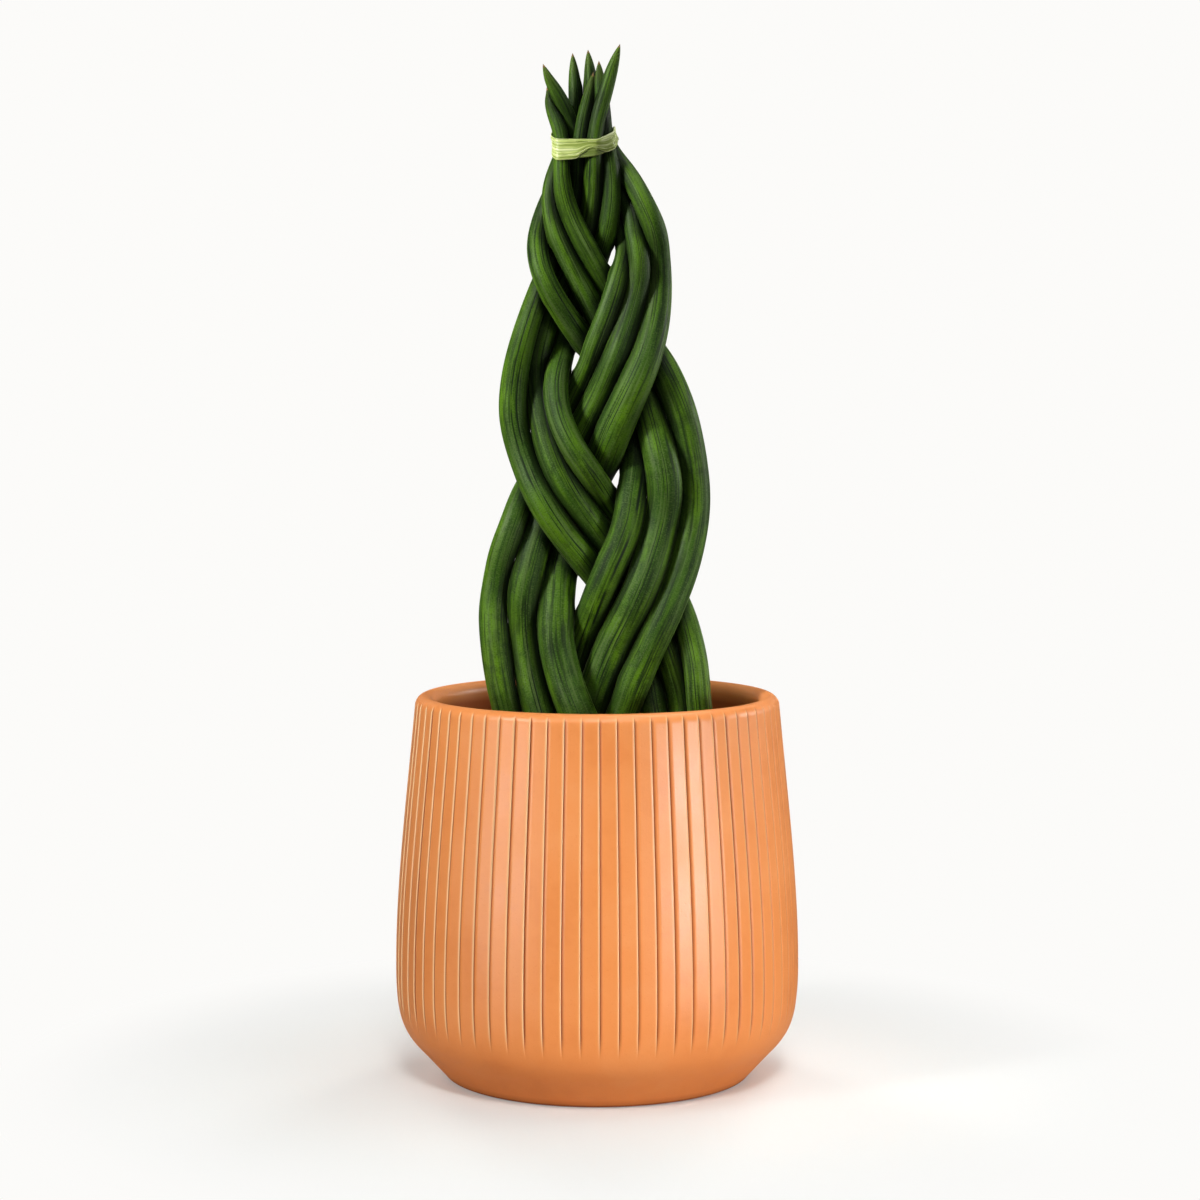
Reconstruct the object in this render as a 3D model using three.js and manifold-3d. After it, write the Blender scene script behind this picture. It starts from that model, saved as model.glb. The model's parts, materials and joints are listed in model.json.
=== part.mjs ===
// A braided cylindrical snake plant in its pot.
//
// Nine rod-shaped leaves stand in potting mix in a turned pot with a rounded lip. They are grouped
// in three strands of three and plaited into a flat three-strand braid, whose top is held by a tie
// of split plant fibre, with the nine pointed tips free above it.
//
// Millimetres, +Z up. The origin is on the floor at the middle of the pot's foot, +X runs along the
// width of the braid and -Y is its front.

import * as THREE from "three";
import { mergeVertices } from "three/addons/utils/BufferGeometryUtils.js";
import Module from "manifold-3d";

const wasm = await Module();
wasm.setup();

// ---------------------------------------------------------------- driving dimensions

const GAP = 0.35; // clearance kept between pieces that touch on the real plant

const POT = {
  footRadius: 83.4,
  footRingWidth: 12,
  footRecess: 2,
  floorTop: 10,
  drainRadius: 8,
  coneTop: { radius: 96.6, z: 14 }, // the straight slope above the foot ends here
  widest: { radius: 110.3, z: 57 },
  lipCentre: { radius: 93.9, z: 201.8 },
  lipHalfWidth: 5.2,
  lipRise: 6,
  // Control points of the two curves of the outer wall, below and above its widest place.
  outerLow: [{ radius: 106.4, z: 22.4 }, { radius: 110.3, z: 35 }],
  outerHigh: [{ radius: 110.3, z: 105 }, { radius: 103.4, z: 154.5 }],
  innerFloorRadius: 80,
  innerWidest: { radius: 101.8, z: 60 },
  innerLow: [{ radius: 95, z: 16 }, { radius: 101.8, z: 32 }],
  innerHigh: [{ radius: 101.8, z: 110 }, { radius: 90.9, z: 182 }],
  curvePoints: 5,
  segments: 56,
};

const SOIL_TOP = 175;

const LEAF = {
  sides: 8,
  rings: 66,
  neckAt: 45, // distance from the tip to the tie, where a leaf has its neck thickness
  pointLength: 10, // how quickly the end narrows to its point
  pointShape: 1.15, // 1 for a blunt point, more for a slimmer one
  buriedTo: 102, // height of the cut lower ends in the potting mix
  ringBias: 1.15, // above 1, the rings stand closer towards the tip
  samples: 400, // places where the bent middle line is worked out
};

const TIE = {
  lowerEdgeZ: 502.3, // height of the lower edge at the origin's x and y
  riseAcross: 0.11, // the loop climbs towards +X
  riseBack: 0.4, // and towards the back
  width: 9.9,
  thickness: 0.8,
  clearance: 0.95,
  segments: 40,
};

// Each leaf: its radius at the tie and where it is thickest, the distance from the tip to there,
// the way points of its middle line from the soil to the tip as seen from the front, [x, z], and
// its depth y where it stands in the soil, in the tie and at its tip. The rank orders the leaves of
// a strand from front to back where they crowd each other.
// Strands: p crosses in front of q, r in front of p and q in front of r, all the way down.
const LEAVES = {
  leaf_p1: {
    rank: 3,
    radius: { neck: 3.9, full: 8.1, fullAt: 230 },
    way: [
      [-31, 165], [-27, 186], [-18, 208], [-7.7, 238], [2.3, 267], [17, 302],
      [21.4, 335], [15, 355], [5.4, 383], [-10.7, 404], [-27.9, 431], [-32.6, 451],
      [-29.9, 464], [-25.4, 477], [-18.2, 490], [-11.5, 503], [-11.3, 525], [-13.2, 554],
    ],
    depth: { soil: 15.5, tie: 11, tip: 11 },
  },
  leaf_p2: {
    rank: 2,
    radius: { neck: 3.8, full: 9.3, fullAt: 218 },
    way: [
      [-15, 165], [-11, 184], [-2.4, 205], [7.5, 233], [21, 259], [33.3, 297],
      [36, 324], [24.5, 370], [8.5, 398], [-7, 426], [-22, 457], [-25.4, 472],
      [-24.4, 485], [-18.9, 501], [-17.8, 516], [-18, 531],
    ],
    depth: { soil: 7, tie: 5.5, tip: 11 },
  },
  leaf_p3: {
    rank: 1,
    radius: { neck: 4.3, full: 8.2, fullAt: 170 },
    way: [
      [5.5, 165], [9, 183], [14.6, 199], [30.7, 239], [48, 280], [53, 318],
      [43.4, 366], [25.6, 400], [4.5, 432], [-14.5, 466], [-18.4, 477], [-19.4, 488],
      [-19.4, 502], [-21, 514], [-24, 527], [-26.9, 535],
    ],
    depth: { soil: 5, tie: -5.6, tip: 3 },
  },
  leaf_q1: {
    rank: 2,
    radius: { neck: 3.9, full: 7.5, fullAt: 190 },
    way: [
      [34, 165], [33, 183], [30, 210], [20, 240], [4, 267], [-12, 287],
      [-31, 315], [-44, 351], [-45, 376], [-37.2, 408], [-27.2, 435], [-17.2, 460],
      [-11.2, 477], [-9.8, 488], [-9.3, 503], [-5.8, 522], [-1.9, 541.5],
    ],
    depth: { soil: -2, tie: -6.6, tip: -11 },
  },
  leaf_q2: {
    rank: 3,
    radius: { neck: 3.9, full: 7.5, fullAt: 175 },
    way: [
      [49, 165], [48, 183], [44.5, 210], [36, 237], [22, 268], [-2, 301],
      [-21, 332], [-31, 362], [-31.5, 383], [-26, 416], [-11.5, 443], [-5.4, 456],
      [-3.3, 468], [-2, 484], [-1.2, 503], [4.1, 530], [12.3, 556.6],
    ],
    depth: { soil: 5.5, tie: -8, tip: -9 },
  },
  leaf_q3: {
    rank: 1,
    radius: { neck: 4.4, full: 6.7, fullAt: 120 },
    way: [
      [59.5, 165], [57.8, 183], [54.8, 205], [53, 227], [44, 257], [24, 289],
      [5, 314], [-18, 351], [-22.7, 374], [-19, 397], [-8.8, 423], [2.5, 447],
      [7.8, 469], [8.3, 484], [6, 503], [4, 515], [3.6, 527],
    ],
    depth: { soil: -5.5, tie: -3, tip: -1 },
  },
  leaf_r1: {
    rank: 3,
    radius: { neck: 4.2, full: 7.7, fullAt: 340 },
    way: [
      [-41.6, 165], [-45.6, 185], [-53, 217], [-55.8, 240], [-54.8, 265], [-46.3, 298],
      [-26, 341], [-9, 378], [4, 409], [12.6, 435], [15.4, 455], [9.5, 467],
      [1.5, 479], [-6.2, 490], [-10.5, 503], [-16, 516], [-23.6, 533], [-28.8, 546.4],
    ],
    depth: { soil: -3, tie: 2.2, tip: -7 },
  },
  leaf_r2: {
    rank: 2,
    radius: { neck: 4.2, full: 8.3, fullAt: 270 },
    way: [
      [-22.5, 165], [-27.4, 185], [-36.9, 219], [-40.2, 250], [-37, 280], [-28, 306],
      [-11, 345], [4, 377], [15, 404], [22, 432], [22, 452], [18.8, 469],
      [12.8, 480], [5, 491], [-0.8, 503], [-2.6, 530], [-4.9, 555.8],
    ],
    depth: { soil: -9.5, tie: 10.5, tip: 11.5 },
  },
  leaf_r3: {
    rank: 1,
    radius: { neck: 4.3, full: 9.7, fullAt: 215 },
    way: [
      [2, 165], [-4, 184], [-16.2, 212], [-23.3, 243], [-23, 258], [-16, 291],
      [-4, 323], [14, 362], [27, 394], [33, 423], [31.9, 450], [22.6, 478],
      [13.7, 493], [6.2, 503.5], [3.9, 513], [2, 530], [1, 549.2],
    ],
    depth: { soil: -13.5, tie: 5, tip: 4.5 },
  },
};

const COLOURS = {
  pot: { color: 0xd98650, roughness: 0.62, metalness: 0 },
  soil: { color: 0x35261c, roughness: 0.95, metalness: 0 },
  leaf: { color: 0x2f5c1f, roughness: 0.5, metalness: 0 },
  tie: { color: 0xb7c76b, roughness: 0.55, metalness: 0 },
};

// ---------------------------------------------------------------- small helpers

function solidFrom(geometry) {
  const bare = geometry.clone();
  bare.deleteAttribute("normal");
  bare.deleteAttribute("uv");
  const merged = mergeVertices(bare, 1e-4);
  return new wasm.Manifold(
    new wasm.Mesh({
      numProp: 3,
      vertProperties: merged.attributes.position.array,
      triVerts: new Uint32Array(merged.index.array),
    }),
  );
}

function geometryFrom(solid) {
  const mesh = solid.getMesh();
  const geometry = new THREE.BufferGeometry();
  geometry.setAttribute("position", new THREE.BufferAttribute(mesh.vertProperties, 3));
  geometry.setIndex(new THREE.BufferAttribute(mesh.triVerts, 1));
  geometry.computeVertexNormals();
  return geometry;
}

function piece(name, geometry, look) {
  const mesh = new THREE.Mesh(geometry, new THREE.MeshStandardMaterial(look));
  mesh.name = name;
  return mesh;
}

// A turned solid: LatheGeometry turns about its own Y, which is stood up along Z here.
function turned(profile, segments) {
  return new THREE.LatheGeometry(profile, segments).rotateX(Math.PI / 2);
}

// ---------------------------------------------------------------- pot and potting mix

function curveTo(path, [first, second], end) {
  path.bezierCurveTo(first.radius, first.z, second.radius, second.z, end.radius, end.z);
}

// The inner wall from the floor up to the lip, as (radius, z) points.
function innerWall() {
  const { innerFloorRadius, floorTop, innerLow, innerWidest, innerHigh, lipCentre, lipHalfWidth } = POT;
  const wall = new THREE.Path();
  wall.moveTo(innerFloorRadius, floorTop);
  curveTo(wall, innerLow, innerWidest);
  curveTo(wall, innerHigh, { radius: lipCentre.radius - lipHalfWidth, z: lipCentre.z });
  return wall.getPoints(POT.curvePoints);
}

function potGeometry() {
  const { footRadius, footRingWidth, footRecess, floorTop, drainRadius } = POT;
  const { coneTop, outerLow, widest, outerHigh, lipCentre, lipHalfWidth, lipRise } = POT;
  const outline = new THREE.Path();
  outline.moveTo(drainRadius, footRecess);
  outline.lineTo(footRadius - footRingWidth - footRecess, footRecess);
  outline.lineTo(footRadius - footRingWidth, 0);
  outline.lineTo(footRadius, 0);
  outline.lineTo(coneTop.radius, coneTop.z);
  curveTo(outline, outerLow, widest);
  curveTo(outline, outerHigh, { radius: lipCentre.radius + lipHalfWidth, z: lipCentre.z });
  outline.absellipse(lipCentre.radius, lipCentre.z, lipHalfWidth, lipRise, 0, Math.PI, false);
  const outside = outline.getPoints(POT.curvePoints);
  const inside = innerWall().reverse().slice(1);
  const drain = [new THREE.Vector2(drainRadius, floorTop), new THREE.Vector2(drainRadius, footRecess)];
  const isNew = (p, i, all) => !i || p.distanceTo(all[i - 1]) > 1e-3;
  return turned([...outside, ...inside, ...drain].filter(isNew), POT.segments);
}

function soilSolid(leafTubes) {
  const { floorTop } = POT;
  const rising = innerWall().filter((p) => p.y < SOIL_TOP);
  const above = innerWall().find((p) => p.y >= SOIL_TOP);
  const below = rising[rising.length - 1];
  const share = (SOIL_TOP - below.y) / (above.y - below.y);
  const edge = below.clone().lerp(above, share);
  const wall = [...rising, edge].map((p) => new THREE.Vector2(p.x - GAP, p.y));
  wall[0].y = floorTop + GAP;
  const profile = [new THREE.Vector2(0, floorTop + GAP), ...wall, new THREE.Vector2(0, SOIL_TOP)];
  let soil = solidFrom(turned(profile, POT.segments));
  for (const tube of leafTubes) soil = soil.subtract(solidFrom(tube));
  return soil;
}

// ---------------------------------------------------------------- leaves

const STEP = 4.5; // spacing of the stations along each leaf, seen from the front
const CONTACT_GAP = 0.9; // kept between leaves, more than GAP because stations are a step apart
const WATCHED = 1; // stations this much further apart than touching can still come to touch
const BUNDLE_FROM = TIE.lowerEdgeZ - 15.3; // above this height the strands join in one bundle
const HELD_BELOW_SOIL_TOP = 8;
const HELD_BELOW_TIE = 5.3;

// Thickness of a leaf at a distance from its tip.
function leafRadius({ neck, full, fullAt }, fromTip) {
  const share = THREE.MathUtils.clamp((fromTip - LEAF.neckAt) / (fullAt - LEAF.neckAt), 0, 1);
  const narrowing = 1 - Math.exp(-((Math.max(fromTip, 0) / LEAF.pointLength) ** LEAF.pointShape));
  return THREE.MathUtils.lerp(neck, full, share) * narrowing;
}

// The front view of a leaf's middle line, cut into equal steps, with a first guess of its depth.
function stationsOf(leaf) {
  const [footX] = leaf.way[0];
  const points = [[footX, LEAF.buriedTo], [footX, (LEAF.buriedTo + leaf.way[0][1]) / 2], ...leaf.way];
  const line = new THREE.CatmullRomCurve3(
    points.map(([x, z]) => new THREE.Vector3(x, 0, z)),
    false,
    "centripetal",
  );
  line.arcLengthDivisions = LEAF.samples;
  const steps = Math.round(line.getLength() / STEP);
  const spaced = line.getSpacedPoints(steps);
  const length = line.getLength();
  return spaced.map((p, i) => ({
    frontX: p.x,
    x: p.x,
    y: 0,
    z: p.z,
    radius: leafRadius(leaf.radius, length * (1 - i / steps)),
  }));
}

const tieBase = (x, y) => TIE.lowerEdgeZ + TIE.riseAcross * x + TIE.riseBack * y;
const tieNormal = new THREE.Vector3(-TIE.riseAcross, -TIE.riseBack, 1).normalize();

// Where a station's depth is given and not worked out: in the soil, within the tie and at the tip.
function wantedDepth(leaf, station) {
  const { soil, tie, tip } = leaf.depth;
  const tipZ = leaf.way[leaf.way.length - 1][1];
  const tieLow = TIE.lowerEdgeZ - HELD_BELOW_TIE;
  const tieHigh = TIE.lowerEdgeZ + TIE.width;
  if (station.z < SOIL_TOP - HELD_BELOW_SOIL_TOP) return soil;
  if (station.z > tieLow && station.z < tieHigh) return tie;
  if (station.z >= tieHigh) return THREE.MathUtils.mapLinear(station.z, tieHigh, tipZ, tie, tip);
  return null;
}

// Which strand passes in front where two strands cross: -1 if strand a does, +1 if strand b does.
const crossing = (a, b) => (["pq", "rp", "qr"].includes(a + b) ? -1 : 1);

// Every pair of stations of two leaves that could touch. Where two strands cross, side says which
// of them is in front. Leaves that run side by side have no side and are only kept apart.
function contactsOf(leaves) {
  const contacts = [];
  leaves.forEach((a, i) =>
    leaves.slice(i + 1).forEach((b) => {
      const [strandA, strandB] = [a.name.at(-2), b.name.at(-2)];
      for (const p of a.stations)
        for (const q of b.stations) {
          const reach = p.radius + q.radius + CONTACT_GAP;
          if (Math.hypot(p.x - q.x, p.z - q.z) > reach + WATCHED) continue;
          const crossed = strandA !== strandB && p.z + q.z < 2 * BUNDLE_FROM;
          contacts.push({ p, q, reach, side: crossed ? crossing(strandA, strandB) : 0 });
        }
    }),
  );
  return contacts;
}

function pushApart({ p, q, reach, side }) {
  const [dx, dy, dz] = [p.x - q.x, p.y - q.y, p.z - q.z];
  const room = reach ** 2 - dz ** 2;
  if (room <= 0) return;
  if (side) {
    const clear = Math.sqrt(Math.max(room - dx ** 2, 0));
    const lack = clear - side * dy;
    if (!clear || lack <= 0) return;
    p.y += (side * lack) / 2;
    q.y -= (side * lack) / 2;
    return;
  }
  const apart = Math.hypot(dx, dy);
  const lack = Math.sqrt(room) - apart;
  if (lack <= 0) return;
  p.x += (dx / apart) * (lack / 2);
  q.x -= (dx / apart) * (lack / 2);
  p.y += (dy / apart) * (lack / 2);
  q.y -= (dy / apart) * (lack / 2);
}

// One step of a station towards where its neighbours would have it if the leaf bent evenly.
function easeBend(values, k) {
  const at = (i) => values[THREE.MathUtils.clamp(i, 0, values.length - 1)];
  const near = (at(k - 1) + at(k + 1)) / 2;
  const far = (at(k - 2) + at(k + 2)) / 2;
  return (4 * near - far) / 3 - values[k];
}

// Works out the depth of every station, so that each leaf bends as little as it can and no two
// leaves come closer than their thickness. The front view moves by a few tenths at the most.
function settle(leaves) {
  const SWEEPS = 4000;
  const STIFFNESS = 0.35;
  const PULL_TO_MIDDLE = 0.004;
  const HOLD_DEPTH = 0.08;
  const HOLD_FRONT_VIEW = 0.12;
  const YIELDS_FROM = 5 / 12; // share of the sweeps after which the bending gives way to the contacts
  const YIELDED_AT = 5 / 6;
  const contacts = contactsOf(leaves);
  for (let sweep = 0; sweep < SWEEPS; sweep++) {
    const firmness = THREE.MathUtils.mapLinear(sweep / SWEEPS, YIELDS_FROM, YIELDED_AT, 1, 0);
    const ease = THREE.MathUtils.clamp(firmness, 0.01, 1);
    for (const { stations, wanted } of leaves) {
      const depths = stations.map((s) => s.y);
      const shifts = stations.map((s) => s.x - s.frontX);
      stations.forEach((s, k) => {
        s.y += ease * (STIFFNESS * easeBend(depths, k) - PULL_TO_MIDDLE * s.y);
        s.x += ease * (STIFFNESS * easeBend(shifts, k) - HOLD_FRONT_VIEW * shifts[k]);
        if (wanted[k] !== null) s.y += ease * HOLD_DEPTH * (wanted[k] - s.y);
      });
    }
    contacts.forEach(pushApart);
  }
}

// A straight leaf turned on the lathe, from its cut end at 0 to its tip, then bent along its line.
function bentLeaf(route, leaf, extra) {
  const length = route.getLength();
  const frames = route.computeFrenetFrames(LEAF.samples, false);
  const profile = [new THREE.Vector2(0, 0)];
  for (let i = 0; i <= LEAF.rings; i++) {
    const share = 1 - (1 - i / LEAF.rings) ** LEAF.ringBias;
    const along = share * length;
    const radius = i < LEAF.rings ? leafRadius(leaf.radius, length - along) + extra : 0;
    profile.push(new THREE.Vector2(radius, along));
  }
  const geometry = new THREE.LatheGeometry(profile, LEAF.sides);
  const position = geometry.attributes.position;
  const vertex = new THREE.Vector3();
  for (let i = 0; i < position.count; i++) {
    vertex.fromBufferAttribute(position, i);
    const share = THREE.MathUtils.clamp(vertex.y / length, 0, 1);
    const k = Math.round(share * LEAF.samples);
    const middle = route.getPointAt(share);
    middle.addScaledVector(frames.binormals[k], vertex.x).addScaledVector(frames.normals[k], vertex.z);
    if (vertex.y === 0) middle.addScaledVector(frames.tangents[0], -extra);
    position.setXYZ(i, middle.x, middle.y, middle.z);
  }
  return geometry;
}

function braid() {
  const leaves = Object.entries(LEAVES).map(([name, leaf]) => {
    const stations = stationsOf(leaf);
    return { name, leaf, stations, wanted: stations.map((s) => wantedDepth(leaf, s)) };
  });
  for (const { leaf, stations, wanted } of leaves) {
    stations.forEach((s, k) => {
      s.y = wanted[k] ?? leaf.rank - 2;
    });
  }
  settle(leaves);
  for (const each of leaves) {
    each.route = new THREE.CatmullRomCurve3(
      each.stations.map(({ x, y, z }) => new THREE.Vector3(x, y, z)),
      false,
      "centripetal",
    );
    each.route.arcLengthDivisions = LEAF.samples;
  }
  return leaves;
}

// ---------------------------------------------------------------- tie

function convexHull(points) {
  const sorted = [...points].sort((a, b) => a.x - b.x || a.y - b.y);
  const turn = (o, a, b) => (a.x - o.x) * (b.y - o.y) - (a.y - o.y) * (b.x - o.x);
  const half = (list) => {
    const out = [];
    for (const p of list) {
      while (out.length > 1 && turn(out.at(-2), out.at(-1), p) <= 0.02) out.pop();
      out.push(p);
    }
    return out.slice(0, -1);
  };
  return [...half(sorted), ...half(sorted.reverse())];
}

// The tight outline round the nine leaves on the sloping plane at a level of the tie.
function outlineAt(leaves, level) {
  const ROUND = 24; // points round each leaf
  const SEARCH_FROM = 0.8; // share of a leaf's length that is surely below the tie
  const SEARCH_STEP = 0.5;
  const above = (p) => p.z - tieBase(p.x, p.y) > level;
  const points = leaves.flatMap(({ leaf, route }) => {
    const length = route.getLength();
    let along = length * SEARCH_FROM;
    while (!above(route.getPointAt(along / length))) along += SEARCH_STEP;
    const middle = route.getPointAt(along / length);
    const axis = route.getTangentAt(along / length);
    const side = new THREE.Vector3(1, 0, 0).cross(axis).normalize();
    const radius = leafRadius(leaf.radius, length - along);
    return Array.from({ length: ROUND }, (_, k) => {
      const spoke = side.clone().applyAxisAngle(axis, (2 * Math.PI * k) / ROUND).multiplyScalar(radius);
      spoke.addScaledVector(axis, -spoke.dot(tieNormal) / axis.dot(tieNormal));
      return new THREE.Vector2(middle.x + spoke.x, middle.y + spoke.y);
    });
  });
  return convexHull(points);
}

// How far an outline lies from a middle point in one direction.
function outlineDistance(outline, middle, direction) {
  const hits = outline.map((from, i) => {
    const edge = outline[(i + 1) % outline.length].clone().sub(from);
    const start = from.clone().sub(middle);
    const across = direction.cross(edge);
    if (Math.abs(across) < 1e-9) return 0;
    const onEdge = start.cross(direction) / across;
    return onEdge >= -1e-9 && onEdge <= 1 + 1e-9 ? start.cross(edge) / across : 0;
  });
  return Math.max(...hits);
}

// A turned ring, pressed on to the bundle of leaves and sloped with it.
function tieGeometry(leaves) {
  const { width, thickness, clearance, segments } = TIE;
  const [INNER, OUTER] = [1, 2]; // radii that mark the two faces of the ring before it is pressed on
  const levels = [0, 0.25, 0.5, 0.75, 1].map((share) => share * width);
  const outer = levels.map((level) => new THREE.Vector2(OUTER, level));
  const inner = levels.map((level) => new THREE.Vector2(INNER, level)).reverse();
  const ring = turned([...outer, ...inner, outer[0].clone()], segments);
  const outlines = new Map(levels.map((level) => [level, outlineAt(leaves, level)]));
  const corners = outlines.get(width / 2);
  const middle = corners.reduce((sum, p) => sum.add(p), new THREE.Vector2()).divideScalar(corners.length);
  const position = ring.attributes.position;
  for (let i = 0; i < position.count; i++) {
    const direction = new THREE.Vector2(position.getX(i), position.getY(i));
    const outside = direction.length() > (INNER + OUTER) / 2;
    const level = [...outlines.keys()].find((key) => Math.abs(key - position.getZ(i)) < 0.01);
    direction.normalize();
    const bundle = outlineDistance(outlines.get(level), middle, direction);
    const reach = bundle + clearance + (outside ? thickness : 0);
    const { x, y } = direction.multiplyScalar(reach).add(middle);
    position.setXYZ(i, x, y, tieBase(x, y) + level);
  }
  return ring;
}

// ---------------------------------------------------------------- the plant

const plant = new THREE.Group();
const leaves = braid();
const sockets = leaves.map(({ route, leaf }) => bentLeaf(route, leaf, GAP));
plant.add(piece("pot", potGeometry(), COLOURS.pot));
plant.add(piece("potting_mix", geometryFrom(soilSolid(sockets)), COLOURS.soil));
for (const { name, leaf, route } of leaves) plant.add(piece(name, bentLeaf(route, leaf, 0), COLOURS.leaf));
plant.add(piece("tie_band", tieGeometry(leaves), COLOURS.tie));

export default plant;
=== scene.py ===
"""A braided cylindrical snake plant in a grooved clay pot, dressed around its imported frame.

Metres, +Z up, the frame's own axes: the origin is on the floor under the middle of the pot, +X runs
along the width of the braid and -Y is its front.
"""

from __future__ import annotations

import json
import logging
import math
from dataclasses import dataclass, field
from enum import Enum
from functools import reduce
from typing import Any, Sequence

import bmesh
import bpy
import numpy as np
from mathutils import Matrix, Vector, noise
from mathutils.geometry import convex_hull_2d

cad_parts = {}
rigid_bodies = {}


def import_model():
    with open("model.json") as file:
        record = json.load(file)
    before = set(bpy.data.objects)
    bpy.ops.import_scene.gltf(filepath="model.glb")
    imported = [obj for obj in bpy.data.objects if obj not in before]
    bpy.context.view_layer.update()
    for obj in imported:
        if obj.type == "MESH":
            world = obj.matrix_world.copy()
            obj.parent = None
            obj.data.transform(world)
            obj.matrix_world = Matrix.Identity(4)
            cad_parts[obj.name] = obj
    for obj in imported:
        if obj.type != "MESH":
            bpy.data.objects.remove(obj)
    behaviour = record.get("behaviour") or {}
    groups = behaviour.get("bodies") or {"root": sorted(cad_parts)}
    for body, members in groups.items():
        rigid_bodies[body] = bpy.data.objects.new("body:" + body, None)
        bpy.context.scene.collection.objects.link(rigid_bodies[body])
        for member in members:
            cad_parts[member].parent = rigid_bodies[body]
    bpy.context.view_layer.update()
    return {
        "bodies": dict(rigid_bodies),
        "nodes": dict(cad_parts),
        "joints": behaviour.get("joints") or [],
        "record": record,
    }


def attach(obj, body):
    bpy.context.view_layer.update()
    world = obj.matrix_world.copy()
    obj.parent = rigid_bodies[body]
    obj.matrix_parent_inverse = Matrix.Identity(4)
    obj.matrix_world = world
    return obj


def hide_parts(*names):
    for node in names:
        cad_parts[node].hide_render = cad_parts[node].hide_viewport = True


LOG = logging.getLogger("snake_plant")

MM = 0.001
BODY = "root"
NUMBER, VECTOR = "FLOAT", "FLOAT_VECTOR"
SOCKET_OF = {int: "Int", float: "Float", tuple: "Color"}

Spot = tuple[float, float]
Span = tuple[float, float]
Place = tuple[float, float, float]
Colour = tuple[float, float, float]
Socket = bpy.types.NodeSocket
WHITE: Colour = (1.0, 1.0, 1.0)


class TreeKind(Enum):
    """The kinds of node tree."""

    SHADER = "ShaderNodeTree"
    GEOMETRY = "GeometryNodeTree"


class Strand(Enum):
    """The three strands of the braid, by the letter in their leaves' names."""

    P = "p"
    Q = "q"
    R = "r"


class Grain(Enum):
    """The kinds of grain that lie on the potting mix."""

    CRUMB = "peat_crumbs"
    BARK = "bark_chips"
    PERLITE = "perlite"


# ---------------------------------------------------------------- node trees


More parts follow.
